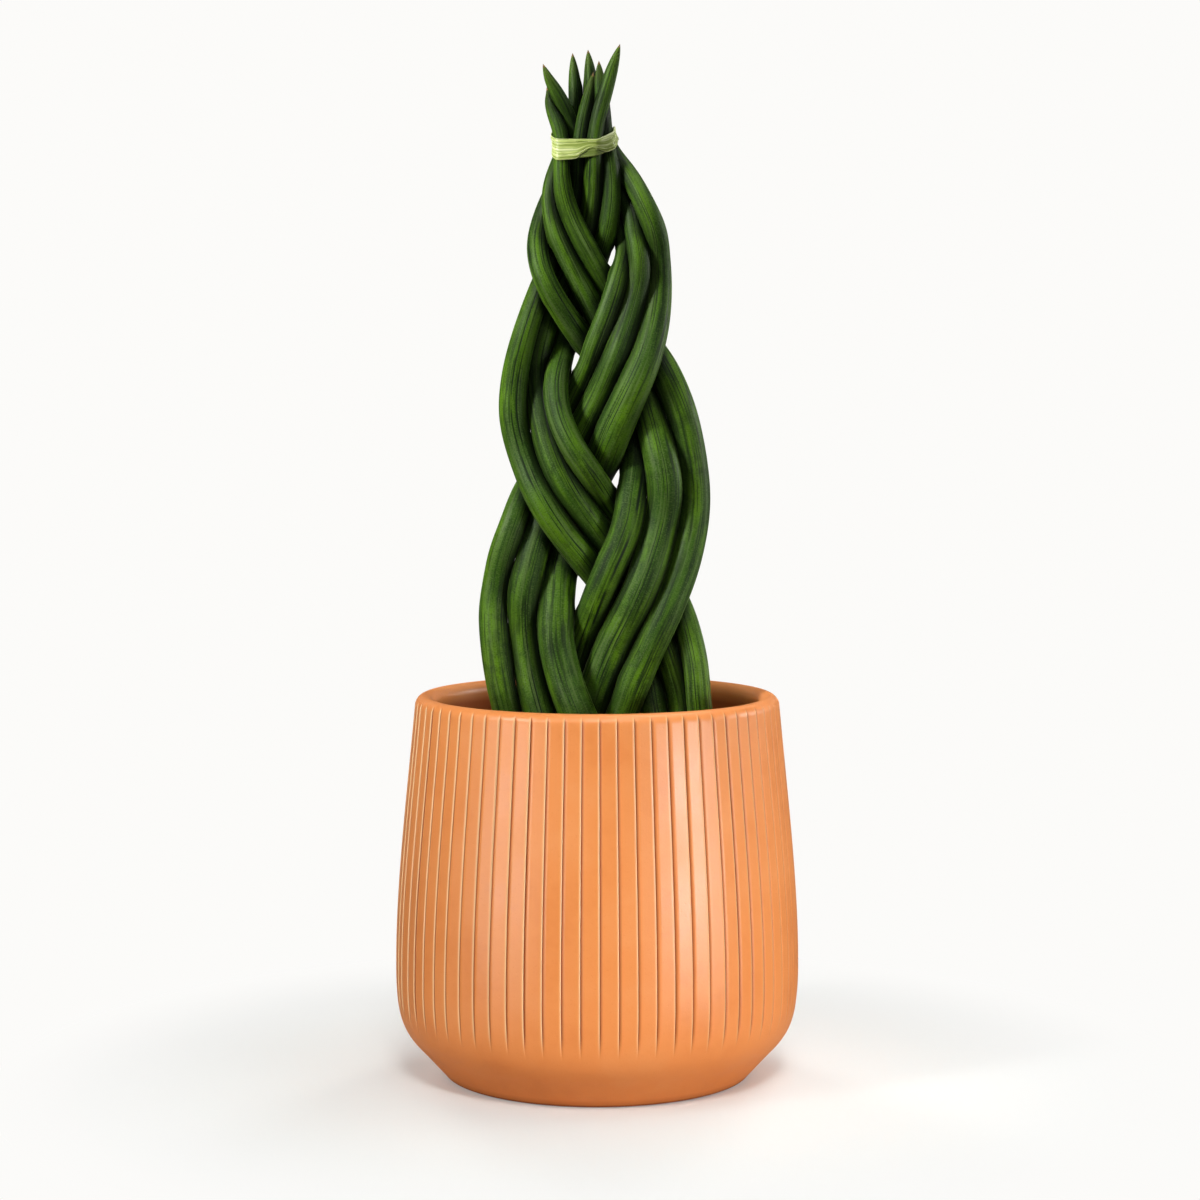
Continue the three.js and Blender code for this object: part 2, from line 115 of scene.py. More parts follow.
class Bench:
    """Adds nodes to a shader or geometry tree and wires them as they are made."""

    def __init__(self, tree: bpy.types.NodeTree) -> None:
        """Starts on the tree that the nodes go into."""
        self.tree = tree

    def plug(self, socket: Socket, value: Any) -> None:
        """Links a socket to another, or sets its own value.

        Args:
            socket: The input socket.
            value: An output socket to link, or a plain value. None leaves the input as it is.
        """
        if value is None:
            return
        if isinstance(value, bpy.types.NodeSocket):
            self.tree.links.new(value, socket)
        elif socket.type == "RGBA" and len(value) == 3:
            socket.default_value = (*value, 1.0)
        else:
            socket.default_value = value

    def node(self, kind: str, feeds: dict[Any, Any] | None = None, **settings: Any) -> bpy.types.Node:
        """Adds one node.

        Args:
            kind: The node's type name.
            feeds: Input name or number to the value or socket that goes in.
            **settings: Attributes of the node, set before its sockets are read.

        Returns:
            The new node.
        """
        made = self.tree.nodes.new(kind)
        for name, value in settings.items():
            setattr(made, name, value)
        for key, value in (feeds or {}).items():
            self.plug(made.inputs[key], value)
        return made

    def math(self, operation: str, *values: Any) -> Socket:
        """Adds a Math node.

        Args:
            operation: The operation's name.
            *values: Up to three values or sockets that it works on.

        Returns:
            The result.
        """
        made = self.node("ShaderNodeMath", operation=operation)
        for socket, value in zip(made.inputs, values):
            self.plug(socket, value)
        return made.outputs[0]

    def chain(self, operation: str, values: Sequence[Any]) -> Socket:
        """A Math node for each value after the first, each working on the one before it."""
        return reduce(lambda total, value: self.math(operation, total, value), values)

    def plus(self, *values: Any) -> Socket:
        """The sum of values or sockets."""
        return self.chain("ADD", values)

    def times(self, *values: Any) -> Socket:
        """The product of values or sockets."""
        return self.chain("MULTIPLY", values)

    def minus(self, whole: Any, part: Any) -> Socket:
        """The first value less the second."""
        return self.math("SUBTRACT", whole, part)

    def over(self, whole: Any, part: Any) -> Socket:
        """The first value divided by the second."""
        return self.math("DIVIDE", whole, part)

    def turns(self, x: Any, y: Any) -> Socket:
        """How far round the third axis a point lies, in turns from -0.5 to 0.5."""
        return self.over(self.math("ARCTAN2", y, x), math.tau)

    def off_whole(self, value: Socket) -> Socket:
        """How far a value is from the nearest whole number."""
        return self.math("ABSOLUTE", self.minus(value, self.math("ROUND", value)))

    def vector(self, operation: str, a: Any, b: Any = None, scale: Any = None) -> Socket:
        """One Vector Math node.

        Args:
            operation: The operation's name.
            a: First vector or socket.
            b: Second vector or socket.
            scale: The factor of the SCALE operation.

        Returns:
            The vector result, or the number for LENGTH, DISTANCE and DOT_PRODUCT.
        """
        made = self.node("ShaderNodeVectorMath", operation=operation)
        self.plug(made.inputs[0], a)
        self.plug(made.inputs[1], b)
        if scale is not None:
            self.plug(made.inputs["Scale"], scale)
        number = operation in ("LENGTH", "DISTANCE", "DOT_PRODUCT")
        return made.outputs["Value" if number else "Vector"]

    def split(self, vector: Any) -> tuple[Socket, Socket, Socket]:
        """The X, Y and Z of a vector socket."""
        made = self.node("ShaderNodeSeparateXYZ", {0: vector})
        return made.outputs[0], made.outputs[1], made.outputs[2]

    def join(self, x: Any = 0.0, y: Any = 0.0, z: Any = 0.0) -> Socket:
        """A vector of three values or sockets."""
        return self.node("ShaderNodeCombineXYZ", {0: x, 1: y, 2: z}).outputs[0]

    def remap(self, value: Any, low: Any, high: Any, to_low: Any = 0.0, to_high: Any = 1.0) -> Socket:
        """Maps the range from low to high smoothly on to another, held at its ends."""
        feeds = {"Value": value, "From Min": low, "From Max": high, "To Min": to_low, "To Max": to_high}
        return self.node("ShaderNodeMapRange", feeds, interpolation_type="SMOOTHSTEP").outputs[0]

    def noise(self, place: Any, scale: Any, detail: float = 2.0, roughness: float = 0.5,
              distortion: float = 0.0) -> Socket:
        """The value of a Noise Texture, 0 to 1 round 0.5.

        Args:
            place: The coordinate socket.
            scale: Grains per unit of the coordinate.
            detail: Octaves.
            roughness: How much the finer octaves weigh.
            distortion: How far the pattern is stirred.

        Returns:
            The value socket.
        """
        feeds = {"Vector": place, "Scale": scale, "Detail": detail, "Roughness": roughness,
                 "Distortion": distortion}
        return self.node("ShaderNodeTexNoise", feeds).outputs[0]

    def blend(self, share: Any, under: Any, over: Any) -> Socket:
        """Mixes two colours.

        Args:
            share: How much of the second one shows.
            under: First colour or socket.
            over: Second colour or socket.

        Returns:
            The colour socket.
        """
        made = self.node("ShaderNodeMix", {0: share, 6: under, 7: over}, data_type="RGBA",
                         clamp_factor=True)
        return made.outputs[2]

    def layered(self, share: Any, under: Socket, over: Socket) -> Socket:
        """Mixes two shaders by the share of the second one."""
        return self.node("ShaderNodeMixShader", {0: share, 1: under, 2: over}).outputs[0]

    def attribute(self, name: str, part: str = "Fac") -> Socket:
        """An attribute of the mesh, read by a shader."""
        return self.node("ShaderNodeAttribute", attribute_name=name).outputs[part]

    def place(self) -> Socket:
        """Object coordinates, which are the frame's own metres."""
        return self.node("ShaderNodeTexCoord").outputs["Object"]

    def point(self) -> Socket:
        """The place of each point, in a geometry tree."""
        return self.node("GeometryNodeInputPosition").outputs[0]

    def named(self, name: str, kind: str = NUMBER) -> Socket:
        """An attribute of the mesh, read by a geometry tree."""
        return self.node("GeometryNodeInputNamedAttribute", {"Name": name}, data_type=kind).outputs[0]

    def store(self, geometry: Socket, name: str, value: Socket, kind: str = NUMBER) -> Socket:
        """Keeps a value on each point of a geometry."""
        feeds = {"Geometry": geometry, "Name": name, "Value": value}
        return self.node("GeometryNodeStoreNamedAttribute", feeds, data_type=kind, domain="POINT").outputs[0]

    def chance(self, lowest: Any, highest: Any, kind: str, **feeds: Any) -> Socket:
        """A random number or vector for each element, between two values.

        Args:
            lowest: The least that it may be.
            highest: The most that it may be.
            kind: NUMBER or VECTOR.
            **feeds: The node's Seed, and its ID where it isn't the element's own.

        Returns:
            The random socket.
        """
        made = self.node("FunctionNodeRandomValue", feeds, data_type=kind)
        first, result = (0, 0) if kind == VECTOR else (2, 1)
        self.plug(made.inputs[first], lowest)
        self.plug(made.inputs[first + 1], highest)
        return made.outputs[result]

    def tube(self, line: Socket, ring: Socket, scale: Socket) -> Socket:
        """A closed tube along a curve, with the ring's section scaled along it."""
        feeds = {"Curve": line, "Profile Curve": ring, "Scale": scale, "Fill Caps": True}
        return self.node("GeometryNodeCurveToMesh", feeds).outputs[0]

    def smooth(self, geometry: Socket) -> Socket:
        """Shades a geometry smooth."""
        return self.node("GeometryNodeSetShadeSmooth", {"Geometry": geometry}).outputs[0]

    def dressed(self, geometry: Socket, material: Socket) -> bpy.types.NodeTree:
        """Ends a geometry tree.

        Args:
            geometry: What the tree has made.
            material: The material that it takes.

        Returns:
            The finished tree.
        """
        real = self.node("GeometryNodeRealizeInstances", {"Geometry": geometry})
        skin = self.node("GeometryNodeSetMaterial", {"Geometry": real.outputs[0], "Material": material})
        self.node("NodeGroupOutput", {"Geometry": skin.outputs[0]})
        return self.tree


def new_group(name: str, inputs: dict[str, Any], outputs: dict[str, str],
              kind: TreeKind = TreeKind.SHADER) -> tuple[Bench, Any]:
    """Starts a node group with named sockets.

    Args:
        name: The group's name.
        inputs: Input name to its default, or to the sort of socket where it has none.
        outputs: Output name to the sort of socket.
        kind: The kind of tree.

    Returns:
        A bench on the group's tree, and the inputs as the nodes in it see them.
    """
    tree = bpy.data.node_groups.new(name, kind.value)
    for label, default in inputs.items():
        bare = isinstance(default, str)
        sort = default if bare else SOCKET_OF[type(default)]
        made = tree.interface.new_socket(label, in_out="INPUT", socket_type=f"NodeSocket{sort}")
        if not bare:
            made.default_value = default
    for label, sort in outputs.items():
        tree.interface.new_socket(label, in_out="OUTPUT", socket_type=f"NodeSocket{sort}")
    bench = Bench(tree)
    return bench, bench.node("NodeGroupInput").outputs


def new_shaper(name: str, inputs: dict[str, Any]) -> tuple[Bench, Any]:
    """Starts a geometry tree that takes a geometry besides its other inputs, and returns one."""
    return new_group(name, {"Geometry": "Geometry", **inputs}, {"Geometry": "Geometry"}, TreeKind.GEOMETRY)


def use_group(bench: Bench, group: bpy.types.NodeTree, feeds: dict[str, Any]) -> bpy.types.Node:
    """Places a shader group in a tree.

    Args:
        bench: The tree that takes it.
        group: The group.
        feeds: Input name to value or socket.

    Returns:
        The group node.
    """
    made = bench.tree.nodes.new("ShaderNodeGroup")
    made.node_tree = group
    for key, value in feeds.items():
        bench.plug(made.inputs[key], value)
    return made


# ---------------------------------------------------------------- shared surface effects


class Effects:
    """The shader groups that more than one finish uses, each built once."""

    def __init__(self) -> None:
        """Builds the groups."""
        self.mottle = self._mottle()
        self.streaks = self._streaks()
        self.grain = self._grain()

    @staticmethod
    def _mottle() -> bpy.types.NodeTree:
        """Soft clouds of a darker and a lighter tone laid over a colour.

        Returns:
            The group.
        """
        bench, given = new_group("soft mottle", {
            "Place": "Vector", "Colour": (0.5, 0.5, 0.5, 1.0), "Dark": (0.3, 0.3, 0.3, 1.0),
            "Light": (0.7, 0.7, 0.7, 1.0), "Scale": 40.0, "Amount": 0.5,
        }, {"Colour": "Color", "Clouds": "Float"})
        clouds = bench.noise(given["Place"], given["Scale"], 4.0, 0.6)
        dark = bench.times(bench.remap(clouds, 0.52, 0.3), given["Amount"])
        light = bench.times(bench.remap(clouds, 0.5, 0.72), given["Amount"])
        colour = bench.blend(dark, given["Colour"], given["Dark"])
        colour = bench.blend(light, colour, given["Light"])
        bench.node("NodeGroupOutput", {"Colour": colour, "Clouds": clouds})
        return bench.tree

    @staticmethod
    def _streaks() -> bpy.types.NodeTree:
        """Long fine lines that run along the third axis of the place.

        Returns:
            The group.
        """
        bench, given = new_group("long streaks", {
            "Place": "Vector", "Lines": 900.0, "Stretch": 0.03,
        }, {"Broad": "Float", "Fine": "Float"})
        squeeze = bench.join(1.0, 1.0, given["Stretch"])
        drawn = bench.vector("MULTIPLY", given["Place"], squeeze)
        finer = bench.times(given["Lines"], 2.6)
        bench.node("NodeGroupOutput", {"Broad": bench.noise(drawn, given["Lines"]),
                                       "Fine": bench.noise(drawn, finer, 3.0, 0.65)})
        return bench.tree

    @staticmethod
    def _grain() -> bpy.types.NodeTree:
        """The height of a fine even grain with pits, for a Bump node.

        Returns:
            The group.
        """
        bench, given = new_group("fine grain", {
            "Place": "Vector", "Scale": 900.0, "Pits": 0.5,
        }, {"Height": "Float"})
        sand = bench.noise(given["Place"], given["Scale"], 4.0, 0.7)
        cells = bench.node("ShaderNodeTexVoronoi", {"Vector": given["Place"],
                                                    "Scale": bench.times(given["Scale"], 0.4)})
        pit = bench.remap(cells.outputs["Distance"], 0.3, 0.1)
        chosen = bench.math("GREATER_THAN", bench.split(cells.outputs["Color"])[0], 0.82)
        pit = bench.times(pit, chosen, given["Pits"])
        bench.node("NodeGroupOutput", {"Height": bench.minus(sand, pit)})
        return bench.tree


def new_material(name: str) -> tuple[bpy.types.Material, Bench, bpy.types.Node]:
    """Starts a material.

    Args:
        name: The material's name.

    Returns:
        The material, a bench on its tree and its Principled BSDF.
    """
    material = bpy.data.materials.new(name)
    material.use_nodes = True
    bench = Bench(material.node_tree)
    return material, bench, material.node_tree.nodes["Principled BSDF"]


def finish_surface(bench: Bench, shader: bpy.types.Node, colour: Any, roughness: Any, height: Any,
                   relief: float) -> None:
    """Wires colour, roughness and relief to a Principled BSDF.

    Args:
        bench: The material's bench.
        shader: Its Principled BSDF.
        colour: Base colour.
        roughness: Roughness.
        height: Height of the relief, 0 to 1.
        relief: What a height of 1 stands for, in metres.
    """
    bench.plug(shader.inputs["Base Color"], colour)
    bench.plug(shader.inputs["Roughness"], roughness)
    bump = bench.node("ShaderNodeBump", {"Height": height, "Distance": relief, "Strength": 1.0})
    bench.plug(shader.inputs["Normal"], bump.outputs[0])


# ---------------------------------------------------------------- finishes


@dataclass(frozen=True)
class ClayFinish:
    """Unglazed orange clay, with a painted highlight on one edge of each groove, painted shade in its grooves
    and at its foot, and an inside painted darker as shade.
    """

    body: Colour = (0.875, 0.304, 0.082)
    dark: Colour = (0.76, 0.225, 0.05)
    light: Colour = (0.92, 0.365, 0.12)
    # Painted shade: the dark colour of the grooves and of the contact shadow at the foot.
    groove: Colour = (0.34, 0.062, 0.006)
    # Painted highlight colour for the steep edge of each groove.
    painted_edge_highlight: Colour = (1.0, 0.72, 0.38)
    # Painted shade: the inside of the pot is darker.
    inside: Colour = (0.52, 0.118, 0.021)
    roughness: float = 0.38
    grain_relief: float = 0.06 * MM

    def build(self, effects: Effects) -> bpy.types.Material:
        """Makes the material.

        Args:
            effects: The shared shader groups.

        Returns:
            The material.
        """
        material, bench, shader = new_material("unglazed_clay")
        place = bench.place()
        mottle = use_group(bench, effects.mottle, {"Place": place, "Colour": self.body, "Dark": self.dark,
                                                   "Light": self.light, "Scale": 28.0, "Amount": 0.4})
        speckle = bench.remap(bench.noise(place, 900.0, 2.0, 0.7), 0.6, 0.74, 0.0, 0.35)
        colour = bench.blend(speckle, mottle.outputs["Colour"], self.dark)
        # Painted shade in the grooves, and the painted contact shadow at the foot.
        colour = bench.blend(bench.attribute("groove"), colour, self.groove)
        # Painted highlight on the steep edge of each groove.
        colour = bench.blend(bench.attribute("groove_edge"), colour, self.painted_edge_highlight)
        # The inside painted darker as shade.
        colour = bench.blend(bench.attribute("inside"), colour, self.inside)
        grain = use_group(bench, effects.grain, {"Place": place, "Scale": 1100.0, "Pits": 0.6})
        roughness = bench.remap(mottle.outputs["Clouds"], 0.3, 0.7, self.roughness - 0.05,
                                self.roughness + 0.06)
        roughness = bench.plus(roughness, bench.times(bench.attribute("groove"), 0.4))
        finish_surface(bench, shader, colour, roughness, grain.outputs["Height"], self.grain_relief)
        shader.inputs["Specular IOR Level"].default_value = 0.6
        return material


@dataclass(frozen=True)
class LeafFinish:
    """Waxy green skin with pairs of thin dark lines along the leaf and a dry brown point."""

    deep: Colour = (0.009, 0.030, 0.0005)
    body: Colour = (0.036, 0.098, 0.004)
    bright: Colour = (0.098, 0.225, 0.004)
    bloom: Colour = (0.110, 0.178, 0.048)
    line: Colour = (0.004, 0.014, 0.001)
    young: Colour = (0.17, 0.24, 0.03)
    dry: Colour = (0.24, 0.14, 0.05)
    # Painted shade, near black, laid where a leaf comes close to another.
    shade: Colour = (0.0015, 0.006, 0.0005)
    roughness: float = 0.55
    relief: float = 0.16 * MM
    line_pairs: float = 4.0
    pair_offset: float = 0.095
    line_width: float = 0.036
    point_length: float = 2.8 * MM
    young_length: float = 16 * MM

    def lines(self, bench: Bench, around: Socket, wander: Socket) -> Socket:
        """Pairs of thin lines that run along the leaf, in places stronger and in places gone.

        Args:
            bench: The material's bench.
            around: The place on the skin, unrolled along the third axis.
            wander: How far the lines stray round the leaf.

        Returns:
            The mask of the lines.
        """
        x, y, _ = bench.split(around)
        phase = bench.off_whole(bench.plus(bench.times(bench.turns(x, y), self.line_pairs), wander))
        aside = bench.math("ABSOLUTE", bench.minus(phase, self.pair_offset))
        middle = bench.math("ABSOLUTE", bench.minus(phase, 0.38))
        pair = bench.remap(aside, self.line_width, self.line_width / 4)
        faint = bench.times(bench.remap(middle, self.line_width / 2, 0.0), 0.6)
        presence = bench.noise(bench.vector("MULTIPLY", around, (0.6, 0.6, 0.22)), 210.0, 2.0)
        both = bench.math("MAXIMUM", pair, faint)
        return bench.times(both, bench.remap(presence, 0.36, 0.54, 0.15, 1.0))

    def build(self, effects: Effects) -> bpy.types.Material:
        """Makes the material.

        Args:
            effects: The shared shader groups.

        Returns:
            The material.
        """
        material, bench, shader = new_material("waxy_leaf_skin")
        around = bench.attribute("leaf_place", "Vector")
        tip = bench.attribute("from_tip")
        line = self.lines(bench, around, bench.attribute("wander"))
        streaks = use_group(bench, effects.streaks, {"Place": around, "Lines": 260.0, "Stretch": 0.04})
        broad, fine = streaks.outputs["Broad"], streaks.outputs["Fine"]
        clouds = bench.noise(bench.vector("MULTIPLY", around, (0.8, 0.8, 0.7)), 120.0, 4.0, 0.6, 0.3)
        blotch = bench.noise(bench.vector("MULTIPLY", around, (1.6, 1.6, 0.35)), 60.0, 2.0)
        colour = bench.blend(bench.remap(blotch, 0.38, 0.66), self.body, self.bright)
        colour = bench.blend(bench.remap(clouds, 0.52, 0.32, 0.0, 0.5), colour, self.deep)
        colour = bench.blend(bench.remap(broad, 0.49, 0.34, 0.0, 0.65), colour, self.deep)
        colour = bench.blend(bench.remap(broad, 0.54, 0.7, 0.0, 0.6), colour, self.bloom)
        specks = bench.noise(bench.vector("MULTIPLY", around, (0.6, 0.6, 1.3)), 1500.0, 2.0, 0.6)
        colour = bench.blend(bench.remap(specks, 0.52, 0.68, 0.0, 0.5), colour, self.bloom)
        colour = bench.blend(bench.remap(specks, 0.48, 0.33, 0.0, 0.5), colour, self.line)
        colour = bench.blend(bench.remap(fine, 0.47, 0.36, 0.0, 0.7), colour, self.line)
        colour = bench.blend(bench.remap(fine, 0.55, 0.66, 0.0, 0.45), colour, self.bloom)
        edge = bench.plus(tip, bench.times(bench.minus(clouds, 0.5), 0.02))
        colour = bench.blend(bench.remap(edge, self.young_length, 0.0, 0.0, 0.35), colour, self.young)
        colour = bench.blend(line, colour, self.line)
        # Painted shade where the leaf comes close to another.
        colour = bench.blend(bench.attribute("crease"), colour, self.shade)
        colour = bench.blend(bench.remap(tip, self.point_length, self.point_length / 2), colour, self.dry)
        roughness = bench.remap(broad, 0.35, 0.65, self.roughness + 0.08, self.roughness - 0.06)
        height = bench.plus(bench.times(fine, 0.5), bench.times(specks, 0.3))
        height = bench.minus(height, bench.times(line, 0.8))
        finish_surface(bench, shader, colour, roughness, height, self.relief)
        shader.inputs["Specular IOR Level"].default_value = 0.2
        shader.inputs["Sheen Weight"].default_value = 0.08
        shader.inputs["Sheen Roughness"].default_value = 0.3
        shader.inputs["Sheen Tint"].default_value = (0.62, 0.85, 0.35, 1.0)
        return material


@dataclass(frozen=True)
class RaffiaFinish:
    """Split plant fibre, pale green on the outer turn, with painted shade in the valleys of its pleats and on
    the turn beneath, which it makes olive.
    """

    body: Colour = (0.58, 0.68, 0.205)
    pale: Colour = (0.88, 0.93, 0.52)
    # Dark fibre tone, also used as the painted shade in the pleats' valleys.
    shade: Colour = (0.27, 0.36, 0.05)
    # Painted shade on the turn beneath the outer one.
    under: Colour = (0.15, 0.21, 0.035)
    roughness: float = 0.4
    relief: float = 0.10 * MM

    def build(self, effects: Effects) -> bpy.types.Material:
        """Makes the material.

        Args:
            effects: The shared shader groups.

        Returns:
            The material.
        """
        material, bench, shader = new_material("split_fibre")
        strip = bench.attribute("strip_place", "Vector")
        streaks = use_group(bench, effects.streaks, {"Place": strip, "Lines": 700.0, "Stretch": 0.03})
        broad, fine = streaks.outputs["Broad"], streaks.outputs["Fine"]
        patch = bench.noise(strip, 75.0, 1.0)
        colour = bench.blend(bench.remap(broad, 0.46, 0.62), self.body, self.pale)
        colour = bench.blend(bench.remap(patch, 0.45, 0.6, 0.0, 0.45), colour, self.pale)
        colour = bench.blend(bench.remap(broad, 0.45, 0.40, 0.0, 0.9), colour, self.shade)
        colour = bench.blend(bench.remap(fine, 0.44, 0.40, 0.0, 0.8), colour, self.shade)
        # Painted shade in the valleys of the pleats.
        colour = bench.blend(bench.attribute("pleat"), colour, self.shade)
        # Painted shade on the turn beneath the outer one.
        colour = bench.blend(bench.attribute("under"), colour, self.under)
        roughness = bench.remap(fine, 0.35, 0.65, self.roughness + 0.1, self.roughness - 0.06)
        finish_surface(bench, shader, colour, roughness, fine, self.relief)
        return material


@dataclass(frozen=True)
class GrainFinish:
    """One material of the potting mix: peat, bark or perlite."""

    name: str
    body: Colour
    dark: Colour
    light: Colour
    scale: float
    roughness: float = 0.92
    relief: float = 0.25 * MM

    def build(self, effects: Effects) -> bpy.types.Material:
        """Makes the material.

        Args:
            effects: The shared shader groups.

        Returns:
            The material.
        """
        material, bench, shader = new_material(self.name)
        place = bench.place()
        mottle = use_group(bench, effects.mottle, {"Place": place, "Colour": self.body, "Dark": self.dark,
                                                   "Light": self.light, "Scale": self.scale, "Amount": 0.9})
        grain = use_group(bench, effects.grain, {"Place": place, "Scale": 700.0, "Pits": 0.8})
        roughness = bench.remap(mottle.outputs["Clouds"], 0.3, 0.7, self.roughness, self.roughness - 0.1)
        finish_surface(bench, shader, mottle.outputs["Colour"], roughness, grain.outputs["Height"],
                       self.relief)
        return material


# ---------------------------------------------------------------- mesh helpers


def mesh_object(name: str, points: np.ndarray, faces: Sequence[Sequence[int]],
                edges: Sequence[tuple[int, int]] = ()) -> bpy.types.Object:
    """Makes an object of points, edges and faces and links it to the scene.

    Args:
        name: The object's name.
        points: One row of x, y, z for each point.
        faces: Point numbers of each face.
        edges: Point numbers of each loose edge.

    Returns:
        The object.
    """
    mesh = bpy.data.meshes.new(name)
    mesh.from_pydata([tuple(map(float, p)) for p in points], list(edges), [tuple(f) for f in faces])
    mesh.update()
    made = bpy.data.objects.new(name, mesh)
    bpy.context.scene.collection.objects.link(made)
    return made


def set_attribute(target: bpy.types.Object, name: str, values: np.ndarray) -> None:
    """Stores an attribute on the points of a mesh.

    Args:
        target: The mesh object.
        name: The attribute's name.
        values: One value or one x, y, z row for each point.
    """
    kind, key = (VECTOR, "vector") if np.ndim(values) == 2 else (NUMBER, "value")
    made = target.data.attributes.new(name, kind, "POINT")
    made.data.foreach_set(key, np.asarray(values, dtype=np.float32).ravel())


def ring_faces(rows: int, columns: int, closed: bool) -> list[tuple[int, int, int, int]]:
    """Faces of a tube of rows of points, each row going round.

    Args:
        rows: How many rows there are.
        columns: How many points are in a row.
        closed: Whether the last row joins the first one.

    Returns:
        The faces, wound so that they face outwards when a row turns left and the rows go up outside.
    """
    faces = []
    for row in range(rows if closed else rows - 1):
        low, high = row * columns, (row + 1) % rows * columns
        for k in range(columns):
            right = (k + 1) % columns
            faces.append((low + k, low + right, high + right, high + k))
    return faces


def bezier(points: Sequence[tuple[float, float]], steps: int, bias: float = 1.0) -> list[tuple[float, float]]:
    """Points along a cubic curve, without its first one.

    Args:
        points: The start, two control points and the end.
        steps: How many points to make.
        bias: Above 1, the points crowd towards the start, and below 1 towards the end.

    Returns:
        The points.
    """
    start, first, second, end = (np.array(p) for p in points)
    made = []
    for k in range(1, steps + 1):
        t = (k / steps) ** bias
        spot = (1 - t) ** 3 * start + 3 * (1 - t) ** 2 * t * first + 3 * (1 - t) * t**2 * second + t**3 * end
        made.append((float(spot[0]), float(spot[1])))
    return made


def shaped(host: bpy.types.Object, tree: bpy.types.NodeTree, values: dict[str, Any]) -> bpy.types.Mesh:
    """Runs a geometry tree on an object and returns the result as a plain mesh.

    Args:
        host: The object that the tree works on. It is left as it was.
        tree: The geometry node tree.
        values: Input name to value.

    Returns:
        The finished mesh.
    """
    modifier = host.modifiers.new(tree.name, "NODES")
    modifier.node_group = tree
    identifiers = {item.name: item.identifier for item in tree.interface.items_tree if item.in_out == "INPUT"}
    for name, value in values.items():
        modifier[identifiers[name]] = value
    bpy.context.view_layer.update()
    mesh = bpy.data.meshes.new_from_object(host.evaluated_get(bpy.context.evaluated_depsgraph_get()))
    host.modifiers.remove(modifier)
    return mesh


def grow(host: bpy.types.Object, tree: bpy.types.NodeTree, values: dict[str, Any]) -> bpy.types.Object:
    """Runs a geometry tree on an object and keeps the result as its plain mesh.

    Args:
        host: The object that the tree works on.
        tree: The geometry node tree.
        values: Input name to value.

    Returns:
        The same object.
    """
    host.data = shaped(host, tree, values)
    host.data.name = host.name
    return host


def wave(wound: np.ndarray, speed: float, start: Any, size: float) -> np.ndarray:
    """A sine wave along something wound, with its number of waves to a turn, its start and its height."""
    return size * np.sin(speed * math.tau * wound + start)


def shade_smooth(piece: bpy.types.Object) -> None:
    """Shades all the faces of a piece smooth."""
    piece.data.polygons.foreach_set("use_smooth", [True] * len(piece.data.polygons))


def points_of(*pieces: bpy.types.Object) -> np.ndarray:
    """Reads the points of finished pieces.

    Args:
        *pieces: The pieces.

    Returns:
        One row of x, y, z for each point.
    """
    rows = []
    for piece in pieces:
        flat = np.empty(3 * len(piece.data.vertices))
        piece.data.vertices.foreach_get("co", flat)
        rows.append(flat.reshape(-1, 3))
    return np.concatenate(rows)


def put_points(piece: bpy.types.Object, places: np.ndarray) -> None:
    """Gives a piece's points new places."""
    piece.data.vertices.foreach_set("co", places.ravel())
    piece.data.update()


def welded(node: str, frame: dict) -> bmesh.types.BMesh:
    """Copies a frame node's mesh and merges its doubled points.

    Args:
        node: The node.
        frame: The loaded frame.

    Returns:
        The copy, to be freed after use.
    """
    mesh = bmesh.new()
    mesh.from_mesh(frame["nodes"][node].data)
    bmesh.ops.remove_doubles(mesh, verts=mesh.verts, dist=0.001 * MM)
    mesh.verts.index_update()
    return mesh


def settle_piece(piece: bpy.types.Object, slot: str, *nodes: str) -> None:
    """Puts a finished piece on the body and hides the frame nodes that it stands for.

    Args:
        piece: The finished piece.
        slot: The record's material slot. It is not used.
        *nodes: Frame nodes that it replaces.
    """
    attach(piece, BODY)
    if nodes:
        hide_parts(*nodes)
    LOG.info("%s: %d faces", piece.name, len(piece.data.polygons))


# ---------------------------------------------------------------- pot


